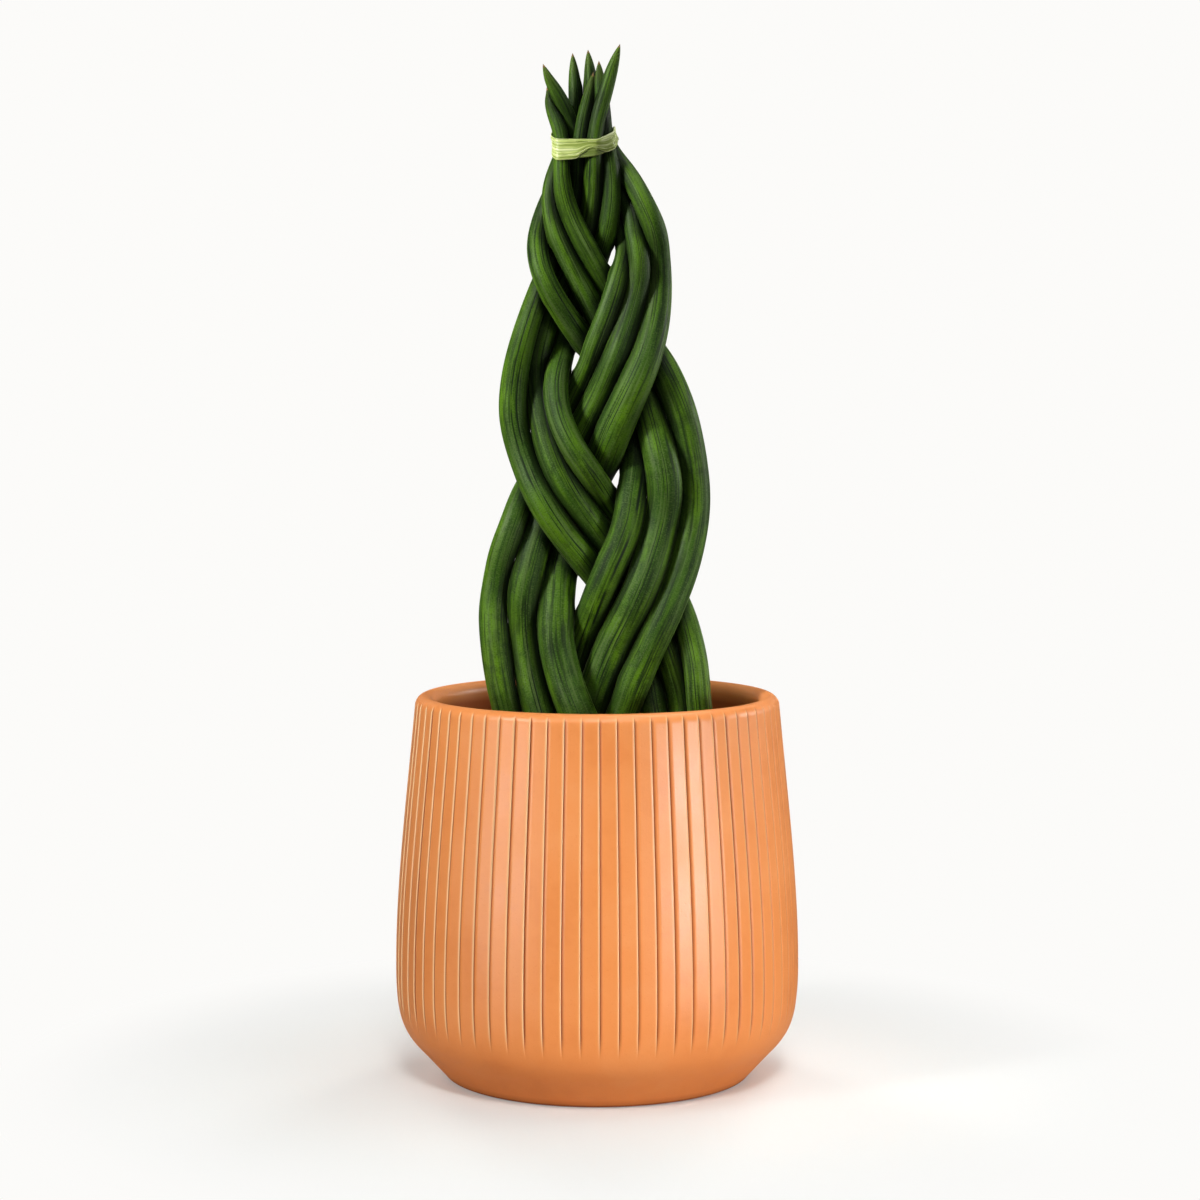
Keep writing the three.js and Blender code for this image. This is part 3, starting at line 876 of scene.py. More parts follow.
@dataclass
class ClayPot:
    """The turned pot with upright grooves cut in its wall.

    The profile's points are (radius, height). The grooves are cut by the geometry tree.
    """

    foot_radius: float = 82.6 * MM
    foot_round: float = 0.8 * MM
    foot_ring_width: float = 12 * MM
    recess: float = 2 * MM
    floor_top: float = 10 * MM
    drain_radius: float = 8 * MM
    slope_foot: Spot = (84.2 * MM, 1.6 * MM)
    slope_top: Spot = (95.6 * MM, 14.2 * MM)
    slope_swing: float = 9.6 * MM
    belly_low: float = 30 * MM
    widest: Spot = (110.08 * MM, 58 * MM)
    belly_high: float = 104 * MM
    shoulder: Spot = (103.6 * MM, 154 * MM)
    wall_crowding: float = 0.72
    lip_centre: Spot = (93.9 * MM, 201.8 * MM)
    lip_half_width: float = 5.2 * MM
    lip_rise: float = 6 * MM
    lip_steps: int = 12
    inner_neck: Spot = (2.2 * MM, 182 * MM)
    inner_high: float = 110 * MM
    inner_widest: Spot = (101.8 * MM, 60 * MM)
    inner_low: float = 32 * MM
    inner_heel: Spot = (95 * MM, 16 * MM)
    inner_floor_radius: float = 80 * MM
    grooves: int = 69
    first_groove: float = math.radians(-89.2)
    columns_per_groove: int = 12
    gathering: float = 0.88
    groove_width: float = 1.85 * MM
    groove_depth: float = 0.7 * MM
    groove_top: float = 206.6 * MM
    groove_bottom: float = 30 * MM
    groove_fade: float = 15 * MM
    groove_slant: float = 0.9
    groove_start: float = 3.5 * MM
    steep_side: float = 0.19
    gentle_side: float = 0.8
    end_width: float = 0.7
    # Where the painted highlight on each groove's steep edge fades in and out.
    edge_from: Span = (0.1 * MM, 0.2 * MM)
    edge_to: Span = (0.85 * MM, 0.4 * MM)
    # Height over which the painted contact shadow at the foot fades out, and how dark it is.
    foot_shade: Span = (2.2 * MM, 0.8 * MM)
    foot_shade_depth: float = 0.85
    rib_tilt: float = 0.06
    finish: ClayFinish = field(default_factory=ClayFinish)

    def outer_profile(self) -> list[Spot]:
        """The outside from the foot ring up to the lip's crest and down to its inner side.

        Returns:
            Radius and height of each point.
        """
        foot, slope, wide, lip = self.foot_radius, self.slope_top, self.widest, self.lip_centre
        rounding = self.foot_round
        outline = [(foot - 3 * rounding, 0.0), (foot - rounding, 0.0)]
        outline += bezier([outline[-1], (foot, 0.0), (foot + rounding, rounding / 2), self.slope_foot], 4)
        rise = (slope[0] - self.slope_foot[0]) / 3, (slope[1] - self.slope_foot[1]) / 3
        steady = (self.slope_foot[0] + rise[0], self.slope_foot[1] + rise[1])
        swing = (slope[0] + self.slope_swing, slope[1] + self.slope_swing)
        outline += bezier([self.slope_foot, steady, (slope[0] - rise[0], slope[1] - rise[1]), slope], 4)
        outline += bezier([slope, swing, (wide[0], self.belly_low), wide], 18)
        lip_side = (lip[0] + self.lip_half_width, lip[1])
        outline += bezier([wide, (wide[0], self.belly_high), self.shoulder, lip_side], 34, self.wall_crowding)
        for k in range(1, self.lip_steps + 1):
            turn = math.pi * k / self.lip_steps
            outline.append((lip[0] + self.lip_half_width * math.cos(turn),
                            lip[1] + self.lip_rise * math.sin(turn)))
        return outline

    def inner_profile(self) -> list[Spot]:
        """The inside from under the lip down to the drainage hole and out to the foot ring.

        Returns:
            Radius and height of each point.
        """
        lip_side = (self.lip_centre[0] - self.lip_half_width, self.lip_centre[1])
        neck = (lip_side[0] + self.inner_neck[0], self.inner_neck[1])
        wide, drain, half_way = self.inner_widest, self.drain_radius, self.inner_floor_radius / 2
        floor_edge = (self.inner_floor_radius, self.floor_top)
        ring_inner = self.foot_radius - self.foot_ring_width
        return bezier([lip_side, neck, (wide[0], self.inner_high), wide], 14) + bezier(
            [wide, (wide[0], self.inner_low), self.inner_heel, floor_edge], 8) + [
            (half_way, self.floor_top), (drain + MM, self.floor_top), (drain, self.floor_top - MM),
            (drain, self.recess + MM), (drain + MM, self.recess), (half_way, self.recess),
            (ring_inner - self.recess, self.recess), (ring_inner, 0.0)]

    def groove_tree(self) -> bpy.types.NodeTree:
        """The geometry tree that gathers the columns at the grooves, cuts them into the wall and stores masks
        for the painted shade in the grooves and at the foot and for the painted highlight on each groove's
        steep edge.

        Returns:
            The tree.
        """
        bench, given = new_shaper("pot grooves", {
            "Grooves": 72, "Width": 0.002, "Depth": 0.001, "Top": 0.2, "Bottom": 0.02, "Fade": 0.01,
            "Gathering": 0.8, "First": 0.0, "Tilt": 0.03, "Seed": 3, "Clay": "Material",
        })
        x, y, z = bench.split(bench.point())
        radius = bench.math("SQRT", bench.plus(bench.times(x, x), bench.times(y, y)))
        turned = bench.minus(bench.math("ARCTAN2", y, x), given["First"])
        turns = bench.math("WRAP", bench.over(turned, math.tau), 1.0, 0.0)
        count = bench.times(turns, given["Grooves"])
        whole = bench.math("ROUND", count)
        phase = bench.minus(count, whole)
        swing = bench.math("SINE", bench.times(phase, math.tau))
        gathered = bench.minus(phase, bench.over(bench.times(swing, given["Gathering"]), math.tau))
        pitch = bench.over(math.tau, given["Grooves"])
        angle = bench.plus(bench.times(bench.plus(whole, gathered), pitch), given["First"])

        wall = bench.named("wall")
        across = bench.times(gathered, pitch, radius)
        slanted = bench.plus(z, bench.times(across, self.groove_slant))
        start = bench.remap(bench.minus(given["Top"], slanted), 0.0, self.groove_start)
        end = bench.remap(bench.minus(z, given["Bottom"]), 0.0, given["Fade"])
        run = bench.times(start, end, wall)
        steep = bench.math("LESS_THAN", across, 0.0)
        side = bench.remap(steep, 0.0, 1.0, self.gentle_side, self.steep_side)
        reach = bench.times(given["Width"], side, bench.remap(run, 0.0, 1.0, self.end_width, 1.0))
        distance = bench.math("ABSOLUTE", across)
        cut = bench.times(bench.remap(bench.over(distance, reach), 1.0, 0.0), run)
        # Painted highlight along the steep edge of each groove only.
        edge = bench.times(bench.remap(distance, *self.edge_to), bench.remap(distance, *self.edge_from))
        edge = bench.times(edge, steep, run)

        rib = bench.math("WRAP", bench.math("FLOOR", bench.plus(whole, gathered)), given["Grooves"], 0.0)
        tilt = bench.chance(-1.0, 1.0, NUMBER, ID=rib, Seed=given["Seed"])
        across_rib = bench.minus(bench.math("ABSOLUTE", gathered), 0.5)
        mirror = bench.math("SIGN", bench.times(gathered, -1.0))
        lean = bench.times(bench.times(across_rib, mirror, tilt), given["Tilt"], run)
        lean = bench.times(lean, pitch, radius)
        half = bench.math("COSINE", bench.times(pitch, 0.5))
        facet = bench.over(half, bench.math("COSINE", bench.times(across_rib, pitch)))
        facet = bench.plus(1.0, bench.times(bench.minus(facet, 1.0), run))
        wide = bench.minus(bench.times(radius, facet), bench.times(cut, given["Depth"]))
        wide = bench.plus(wide, lean)
        spot = bench.join(bench.times(bench.math("COSINE", angle), wide),
                          bench.times(bench.math("SINE", angle), wide), z)
        # Painted contact shadow at the foot, joined with the painted shade in the grooves.
        shade = bench.remap(z, *self.foot_shade, 0.0, self.foot_shade_depth)
        masked = bench.store(given["Geometry"], "groove", bench.math("MAXIMUM", cut, shade))
        masked = bench.store(masked, "groove_edge", edge)
        carved = bench.node("GeometryNodeSetPosition", {"Geometry": masked, "Position": spot}).outputs[0]
        return bench.dressed(bench.smooth(carved), given["Clay"])

    def build(self, effects: Effects) -> None:
        """Makes the pot, which replaces its frame node.

        Args:
            effects: The shared shader groups.
        """
        outer, inner = self.outer_profile(), self.inner_profile()
        profile = np.array(outer + inner)
        columns = self.grooves * self.columns_per_groove
        turn = self.first_groove + math.tau * (np.arange(columns) + 0.5) / columns
        rows = [np.stack([r * np.cos(turn), r * np.sin(turn), z * np.ones(columns)], axis=1)
                for r, z in profile]
        pot = mesh_object("pot_shell", np.concatenate(rows), ring_faces(len(profile), columns, True))
        outside = np.arange(len(profile)) < len(outer)
        set_attribute(pot, "wall", np.repeat(outside & (profile[:, 0] >= self.slope_top[0]), columns))
        # The inner surface, which the clay paints darker as shade.
        set_attribute(pot, "inside", np.repeat(~outside, columns))
        grow(pot, self.groove_tree(), {
            "Grooves": self.grooves, "Width": self.groove_width, "Depth": self.groove_depth,
            "Top": self.groove_top, "Bottom": self.groove_bottom, "Fade": self.groove_fade,
            "Gathering": self.gathering, "First": self.first_groove, "Tilt": self.rib_tilt,
            "Clay": self.finish.build(effects),
        })
        settle_piece(pot, "pot", "pot")


# ---------------------------------------------------------------- leaves


@dataclass(frozen=True)
class Gap:
    """A place where the braid lets light through, or where its leaves close up instead."""

    middle: Spot
    opening: float
    reach: Span = (7 * MM, 9 * MM)


@dataclass
class LeafGrower:
    """Grows round, furrowed leaves along the middle lines of the frame's plain ones."""

    sides: int = 56
    ring_spacing: float = 2.0 * MM
    furrow_depth: float = 0.022
    furrow_half: float = 0.16
    seed_step: float = 3.7
    stray: float = 1.6
    stray_round: float = 0.35
    stray_along: float = 1.3
    stray_grain: float = 1.6
    patch_along: float = 9.0
    patch_grain: float = 1.3
    patch_edges: Span = (0.36, 0.6)
    patch_least: float = 0.15
    weld: float = 0.01 * MM
    smoothing: float = 7 * MM
    skin_radius: float = 8 * MM
    contact: float = 0.04 * MM
    free_growth: float = 0.22 * MM
    nip_height: float = 509 * MM
    nip_reach: float = 9 * MM
    nip_middle: float = -6.5 * MM
    nip_share: float = 0.085
    gaps: tuple[Gap, ...] = (
        Gap((8.0 * MM, 444.5 * MM), 1.1 * MM),
        Gap((-11.2 * MM, 388.0 * MM), 1.1 * MM),
        Gap((14.0 * MM, 220.0 * MM), -1.5 * MM, (8 * MM, 10 * MM)),
        Gap((-3.5 * MM, 289.8 * MM), -0.9 * MM, (6 * MM, 8 * MM)),
        Gap((-26.1 * MM, 452.4 * MM), -0.5 * MM, (5 * MM, 6 * MM)),
    )
    nearest_points: int = 12
    most_growth: float = 0.75 * MM
    near: float = 1.35 * MM
    far: float = 2.5 * MM
    slim_tip: float = 3 * MM
    # How near another leaf the painted shade starts and where it is full, and how much weaker it is where the
    # skin faces -X than +X.
    painted_shade_reach: Span = (7.8 * MM, 1.2 * MM)
    shaded_side: tuple[float, float, float, float] = (-0.6, 0.6, 0.6, 1.0)
    finish: LeafFinish = field(default_factory=LeafFinish)

    @staticmethod
    def middle_line(node: str, frame: dict) -> tuple[np.ndarray, np.ndarray]:
        """Finds the middle line of a frame leaf and its thickness along it.

        The walk starts at the middle of the cut lower end and goes ring by ring to the tip.

        Args:
            node: The leaf's node.
            frame: The loaded frame.

        Returns:
            The middle of each ring, and each ring's radius. The tip is the last one, with radius 0.
        """
        mesh = welded(node, frame)
        lowest = min(v.co.z for v in mesh.verts)
        near_base = [v for v in mesh.verts if v.co.z < lowest + MM]
        middle = sum((v.co for v in near_base), Vector()) / len(near_base)
        start = min(near_base, key=lambda v: (v.co - middle).length)
        seen = {start}
        layer = [start]
        centres, radii = [], []
        while True:
            beside = {e.other_vert(v) for v in layer for e in v.link_edges}
            layer = sorted(beside - seen, key=lambda v: v.index)
            if not layer:
                break
            seen.update(layer)
            centre = sum((v.co for v in layer), Vector()) / len(layer)
            centres.append(centre[:])
            radii.append(sum((v.co - centre).length for v in layer) / len(layer))
        mesh.free()
        return np.array(centres), np.array(radii)

    def eased(self, centres: np.ndarray) -> np.ndarray:
        """Takes the small kinks out of a middle line, and leaves its ends where they are.

        Args:
            centres: The middle of each ring.

        Returns:
            The eased middle line.
        """
        steps = np.linalg.norm(np.diff(centres, axis=0), axis=1)
        along = np.concatenate([[0.0], np.cumsum(steps)])
        weight_of_step = np.gradient(along)
        made = []
        for spot in along:
            reach = min(self.smoothing, (spot - along[0]) / 2, (along[-1] - spot) / 2) + 0.01 * MM
            weight = weight_of_step * np.exp(-((along - spot) / reach) ** 2 / 2)
            made.append((centres * weight[:, None]).sum(axis=0) / weight.sum())
        return np.array(made)

    def sweep_tree(self) -> bpy.types.NodeTree:
        """The geometry tree that draws a furrowed round section along a leaf's middle line.

        Returns:
            The tree.
        """
        bench, given = new_shaper("leaf sweep", {
            "Sides": 48, "Ring Spacing": 0.002, "Furrows": 6.0, "Furrow Depth": 0.02,
            "Skin Radius": 0.008, "Seed": 0.0, "Skin": "Material",
        })
        line = bench.node("GeometryNodeMeshToCurve", {0: given["Geometry"]}).outputs[0]
        line = bench.node("GeometryNodeCurveSplineType", {0: line}, spline_type="CATMULL_ROM").outputs[0]
        line = bench.node("GeometryNodeSetSplineResolution", {0: line, "Resolution": 8}).outputs[0]
        line = bench.node("GeometryNodeResampleCurve", {0: line, "Length": given["Ring Spacing"]},
                          mode="LENGTH").outputs[0]
        along = bench.node("GeometryNodeSplineParameter").outputs["Length"]
        total = bench.node("GeometryNodeSplineLength").outputs["Length"]
        line = bench.store(line, "along", along)
        line = bench.store(line, "from_tip", bench.minus(total, along))
        ring = bench.node("GeometryNodeCurvePrimitiveCircle", {"Resolution": given["Sides"], "Radius": 1.0})
        ring = ring.outputs[0]
        ring = bench.store(ring, "around", bench.point(), VECTOR)
        radius = bench.named("leaf_radius")
        tube = bench.tube(line, ring, radius)
        along = bench.named("along")
        offset = bench.times(given["Seed"], self.seed_step)
        x, y, _ = bench.split(bench.named("around", VECTOR))
        drawn = bench.join(bench.times(x, self.stray_round), bench.times(y, self.stray_round),
                           bench.plus(bench.times(along, self.stray_along), offset))
        wander = bench.times(bench.noise(drawn, self.stray_grain, 1.0), self.stray)
        count = bench.plus(bench.times(bench.turns(x, y), given["Furrows"]), wander)
        patchy = bench.join(x, y, bench.plus(bench.times(along, self.patch_along), offset))
        patch = bench.noise(patchy, self.patch_grain, 1.0)
        strength = bench.remap(patch, *self.patch_edges, self.patch_least, 1.0)
        trough = bench.times(bench.remap(bench.off_whole(count), self.furrow_half, 0.0), strength)
        inset = bench.times(bench.times(trough, given["Furrow Depth"], radius), -1.0)
        normal = bench.node("GeometryNodeInputNormal").outputs[0]
        pushed = bench.vector("ADD", bench.point(), bench.vector("SCALE", normal, scale=inset))
        skin = bench.join(bench.times(x, given["Skin Radius"]), bench.times(y, given["Skin Radius"]),
                          bench.plus(along, given["Seed"]))
        tube = bench.store(tube, "leaf_place", skin, VECTOR)
        tube = bench.store(tube, "wander", wander)
        tube = bench.node("GeometryNodeSetPosition", {"Geometry": tube, "Position": pushed}).outputs[0]
        tube = bench.node("GeometryNodeMergeByDistance", {"Geometry": tube, "Distance": self.weld})
        tube = bench.smooth(tube.outputs[0])
        return bench.dressed(tube, given["Skin"])

    def press_tree(self) -> bpy.types.NodeTree:
        """The geometry tree that fills a leaf out until it meets the leaves beside it, and stores the painted
        shade where it comes close to them.

        Returns:
            The tree.
        """
        bench, given = new_shaper("leaf press", {
            "Neighbours": "Collection", "Contact": 0.00004, "Free Growth": 0.0002,
            "Most Growth": 0.0008, "Near": 0.0016, "Far": 0.0032, "Skin": "Material",
        })
        others = bench.node("GeometryNodeCollectionInfo", {0: given["Neighbours"]},
                            transform_space="ORIGINAL").outputs[0]
        others = bench.node("GeometryNodeRealizeInstances", {"Geometry": others}).outputs[0]
        gap = bench.node("GeometryNodeProximity", {0: others}, target_element="FACES").outputs["Distance"]
        share = bench.remap(gap, given["Far"], given["Near"])
        reach = bench.node("ShaderNodeMix", {0: share, 2: given["Free Growth"], 3: given["Most Growth"]},
                           data_type=NUMBER).outputs[0]
        room = bench.minus(bench.times(gap, 0.5), given["Contact"])
        tip = bench.remap(bench.named("from_tip"), 0.0, self.slim_tip)
        growth = bench.times(bench.math("MINIMUM", room, reach), tip)
        normal = bench.node("GeometryNodeInputNormal").outputs[0]
        # Painted shade near the other leaves, stronger where the skin faces +X.
        aside = bench.remap(bench.split(normal)[0], *self.shaded_side)
        crease = bench.times(bench.remap(gap, *self.painted_shade_reach), aside)
        marked = bench.store(given["Geometry"], "crease", crease)
        filled = bench.node("GeometryNodeSetPosition",
                            {"Geometry": marked, "Offset": bench.vector("SCALE", normal, scale=growth)})
        return bench.dressed(filled.outputs[0], given["Skin"])

    def press(self, leaves: list[bpy.types.Object], skin: bpy.types.Material) -> None:
        """Fills all the leaves out together, each by half of the room between it and the next.

        Args:
            leaves: The swept leaves, whose meshes are replaced.
            skin: Their material.
        """
        tree = self.press_tree()
        neighbours = bpy.data.collections.new("neighbours")
        for leaf in leaves:
            neighbours.objects.link(leaf)
        meshes = []
        for leaf in leaves:
            neighbours.objects.unlink(leaf)
            meshes.append(shaped(leaf, tree, {
                "Neighbours": neighbours, "Contact": self.contact, "Free Growth": self.free_growth,
                "Most Growth": self.most_growth, "Near": self.near, "Far": self.far, "Skin": skin,
            }))
            neighbours.objects.link(leaf)
        for leaf, mesh in zip(leaves, meshes):
            leaf.data = mesh
            mesh.name = leaf.name
        bpy.data.collections.remove(neighbours)

    def nip(self, leaf: bpy.types.Object) -> None:
        """Draws a leaf in from both sides where the tie holds the bundle.

        Args:
            leaf: The leaf, whose points are moved.
        """
        places = points_of(leaf)
        from_tie = (places[:, 2] - self.nip_height) / self.nip_reach
        places[:, 0] -= self.nip_share * np.exp(-from_tie ** 2 / 2) * (places[:, 0] - self.nip_middle)
        put_points(leaf, places)

    def part(self, leaf: bpy.types.Object) -> None:
        """Moves a leaf a little to its own side of each gap in the braid, or towards the gap.

        Args:
            leaf: The leaf. Its side is the one that the skin nearest to the gap lies on.
        """
        places = points_of(leaf)
        for gap in self.gaps:
            aside = (places[:, (0, 2)] - gap.middle) / gap.reach
            nearest = np.argsort((aside ** 2).sum(axis=1))[:self.nearest_points]
            side = np.sign(aside[nearest, 0].mean())
            places[:, 0] += side * gap.opening * np.exp(-(aside ** 2).sum(axis=1))
        put_points(leaf, places)

    def build(self, frame: dict, effects: Effects) -> list[bpy.types.Object]:
        """Grows all the leaves.

        Args:
            frame: The loaded frame.
            effects: The shared shader groups.

        Returns:
            The leaves, each of which replaces its frame node.
        """
        tree = self.sweep_tree()
        skin = self.finish.build(effects)
        leaves = {}
        for strand in Strand:
            for node in sorted(n for n in frame["nodes"] if n.startswith(f"leaf_{strand.value}")):
                centres, radii = self.middle_line(node, frame)
                centres = self.eased(centres)
                host = mesh_object(f"{node}_skin", centres, [], [(k, k + 1) for k in range(len(centres) - 1)])
                set_attribute(host, "leaf_radius", radii)
                leaves[node] = grow(host, tree, {
                    "Sides": self.sides, "Ring Spacing": self.ring_spacing,
                    "Furrows": self.finish.line_pairs, "Furrow Depth": self.furrow_depth,
                    "Skin Radius": self.skin_radius, "Seed": float(len(leaves) + 1), "Skin": skin,
                })
        for leaf in leaves.values():
            self.nip(leaf)
            self.part(leaf)
        self.press(list(leaves.values()), skin)
        for node, leaf in leaves.items():
            settle_piece(leaf, "leaf", node)
        return list(leaves.values())


# ---------------------------------------------------------------- tie


@dataclass
class TieStrip:
    """A strip of split fibre wound twice round the bundle, its last end lying flat behind.

    A level of the band is (height at the middle, rise along X, rise along Y).
    """

    lower: Place = (505.2 * MM, 0.115, 0.63)
    upper: Place = (512.9 * MM, 0.06, 0.50)
    start: float = math.radians(55)
    turns: float = 2.2
    columns: int = 310
    rows: int = 41
    clearance: float = 0.08 * MM
    step_out: float = 0.38 * MM
    thickness: float = 0.24 * MM
    pleats: float = 7.5
    pleat_depth: float = 0.22 * MM
    notch_middle: float = -2.7 * MM
    notch_half: float = 8.7 * MM
    notch_rise: float = 4.5 * MM
    notch_from: float = 1.05
    turn_change: float = 0.1
    end_taper: float = 0.14
    end_width: float = 0.3
    # How far the first turn's painted shade reaches and how dark it is, and how dark and wide the painted
    # shade in the pleats' valleys is.
    under_until: float = 1.2
    under_shade: float = 0.85
    valley_shade: float = 0.9
    valley_share: float = 0.6
    rolled_edge: float = 0.1 * MM
    rolled_from: float = 0.85
    print_through: float = 0.4
    slice_half: float = 1.6 * MM
    level_behind: float = 1 * MM
    circumference: float = 130 * MM
    fibres: int = 16
    fibre_points: int = 40
    fibre_radius: float = 0.10 * MM
    fibre_taper: float = 0.12
    fibre_end: float = 0.25
    fibre_begin: Span = (1.25, 1.85)
    fibre_length: Span = (0.15, 0.5)
    fibre_slant: Span = (-0.12, 0.12)
    fibre_middle: Span = (0.06, 0.94)
    fibre_limits: Span = (0.03, 0.97)
    fibre_lift: float = 0.9
    fibre_play: float = 0.08 * MM
    seed: int = 11
    finish: RaffiaFinish = field(default_factory=RaffiaFinish)

    def level(self, plane: Place, x: np.ndarray, y: np.ndarray) -> np.ndarray:
        """The height of a sloping level over points. Behind the bundle it no longer rises."""
        return plane[0] + plane[1] * x + plane[2] * np.minimum(y, self.level_behind)

    def loop(self, points: np.ndarray, share: float) -> np.ndarray:
        """Fits a taut loop round the leaves at one level of the band.

        Args:
            points: The leaves' points.
            share: 0 for the band's lower edge and 1 for its upper edge.

        Returns:
            The corners of the loop, x and y, turning left.
        """
        x, y = points[:, 0], points[:, 1]
        level = (1 - share) * self.level(self.lower, x, y) + share * self.level(self.upper, x, y)
        near = points[np.abs(points[:, 2] - level) < self.slice_half][:, :2]
        corners = near[convex_hull_2d([Vector(p) for p in near])]
        area = np.cross(corners, np.roll(corners, -1, axis=0)).sum()
        return corners if area > 0 else corners[::-1]

    @staticmethod
    def reach(loop: np.ndarray, middle: np.ndarray, turn: np.ndarray) -> np.ndarray:
        """How far rays from the middle go before they meet a loop.

        Args:
            loop: The loop's corners, turning left.
            middle: Where the rays start.
            turn: The direction of each ray.

        Returns:
            The length of each ray.
        """
        side = np.roll(loop, -1, axis=0) - loop
        normal = np.stack([side[:, 1], -side[:, 0]], axis=1)
        normal = normal / np.maximum(np.linalg.norm(side, axis=1), 1e-9)[:, None]
        distance = (normal * (loop - middle)).sum(axis=1)
        facing = normal @ np.stack([np.cos(turn), np.sin(turn)])
        lengths = np.where(facing > 1e-3, distance[:, None] / np.maximum(facing, 1e-3), np.inf)
        return lengths.min(axis=0)

    def surface(self, loops: list[np.ndarray], wound: np.ndarray, across: np.ndarray,
                lift: np.ndarray) -> np.ndarray:
        """Places points on the wound strip.

        Args:
            loops: The taut loops at the lower edge, middle and upper edge.
            wound: How many turns in each point is.
            across: 0 at the strip's lower edge and 1 at its upper edge.
            lift: How far each point stands off the strip's inner face.

        Returns:
            The points, one row of x, y, z each.
        """
        middle = loops[1].mean(axis=0)
        turn = self.start + math.tau * wound
        low, half, high = (self.reach(loop, middle, turn) for loop in loops)
        radius = np.where(across < 0.5, low + (half - low) * 2 * across,
                          half + (high - half) * (2 * across - 1))
        radius = radius + self.clearance + self.step_out * wound + lift
        x = middle[0] + radius * np.cos(turn)
        y = middle[1] + radius * np.sin(turn)
        low_z, high_z = self.level(self.lower, x, y), self.level(self.upper, x, y)
        outer = np.clip((wound - self.notch_from) / self.turn_change, 0, 1) * (y < middle[1])
        aside = np.clip(np.abs(x - self.notch_middle) / self.notch_half, 0, 1)
        low_z = low_z + outer * self.notch_rise * np.cos(aside * math.pi / 2) ** 1.5
        end = np.minimum(wound, self.turns - wound) / self.end_taper
        width = self.end_width + (1 - self.end_width) * np.clip(end, 0, 1) ** 0.7
        centre = (low_z + high_z) / 2
        return np.stack([x, y, centre + (across - 0.5) * (high_z - low_z) * width], axis=1)

    def strip(self, loops: list[np.ndarray]) -> bpy.types.Object:
        """The pleated strip itself, a closed skin.

        Args:
            loops: The taut loops at the lower edge, middle and upper edge.

        Returns:
            The strip.
        """
        wound, across = np.meshgrid(np.linspace(0, self.turns, self.columns), np.linspace(0, 1, self.rows))
        wound, across = wound.ravel(), across.ravel()
        drift = wave(wound, 2.3, 1.0, 0.22) + wave(wound, 5.1, 2.0, 0.08)
        fold = np.abs(np.sin(math.pi * (self.pleats * across + drift * (0.4 + across))))
        depth = self.pleat_depth * (0.65 + wave(wound, 3.7, 9 * across, 0.35))
        from_middle = np.abs(across - 0.5) * 2
        rolled = np.clip(from_middle - self.rolled_from, 0, 1) / (1 - self.rolled_from)
        relief = depth * fold - self.rolled_edge * rolled
        outer = self.surface(loops, wound, across, self.thickness + relief)
        inner = self.surface(loops, wound, across, relief * self.print_through)
        made = mesh_object("tie_strip", np.concatenate([outer, inner]), self.strip_faces())
        set_attribute(made, "strip_place", np.concatenate([self.strip_place(wound, across)] * 2))
        # Painted shade in the pleats' valleys.
        valley = self.valley_shade * np.clip(1 - fold / self.valley_share, 0, 1)
        # Painted shade on the first turn, which lies beneath the second.
        under = self.under_shade * np.clip((self.under_until - wound) / self.turn_change, 0, 1)
        set_attribute(made, "pleat", np.concatenate([valley] * 2))
        set_attribute(made, "under", np.concatenate([under] * 2))
        shade_smooth(made)
        return made

    def strip_place(self, wound: np.ndarray, across: np.ndarray) -> np.ndarray:
        """The place of points on the strip unrolled, with its length along the third axis."""
        width = self.upper[0] - self.lower[0]
        return np.stack([across * width, 0 * wound, wound * self.circumference], axis=1)

    def strip_faces(self) -> list[tuple[int, ...]]:
        """The faces of the strip's outer and inner side and of its four rims.

        Returns:
            Point numbers of each face.
        """
        rows, columns = self.rows, self.columns
        count = rows * columns
        starts = [row * columns for row in range(rows)]
        faces = []
        for low, high in zip(starts, starts[1:]):
            for a, b in zip(range(low, low + columns - 1), range(high, high + columns - 1)):
                faces += [(a, a + 1, b + 1, b), (count + a, count + b, count + b + 1, count + a + 1)]
        top = starts[-1]
        for k in range(columns - 1):
            faces += [(k, count + k, count + k + 1, k + 1),
                      (top + k, top + k + 1, count + top + k + 1, count + top + k)]
        for a, b in zip(starts, starts[1:]):
            c, d = a + columns - 1, b + columns - 1
            faces += [(a, b, count + b, count + a), (c, count + c, count + d, d)]
        return faces

    def fibre_tree(self) -> bpy.types.NodeTree:
        """The geometry tree that gives hair-thin fibres a round section.

        Returns:
            The tree.
        """
        bench, given = new_shaper("loose fibres", {"Radius": 0.0001, "Fibre": "Material"})
        line = bench.node("GeometryNodeMeshToCurve", {0: given["Geometry"]}).outputs[0]
        ring = bench.node("GeometryNodeCurvePrimitiveCircle", {"Resolution": 5, "Radius": given["Radius"]})
        along = bench.node("GeometryNodeSplineParameter").outputs["Factor"]
        end = bench.math("MINIMUM", along, bench.minus(1.0, along))
        scale = bench.remap(end, 0.0, self.fibre_taper, self.fibre_end, 1.0)
        tube = bench.tube(line, ring.outputs[0], scale)
        return bench.dressed(bench.smooth(tube), given["Fibre"])

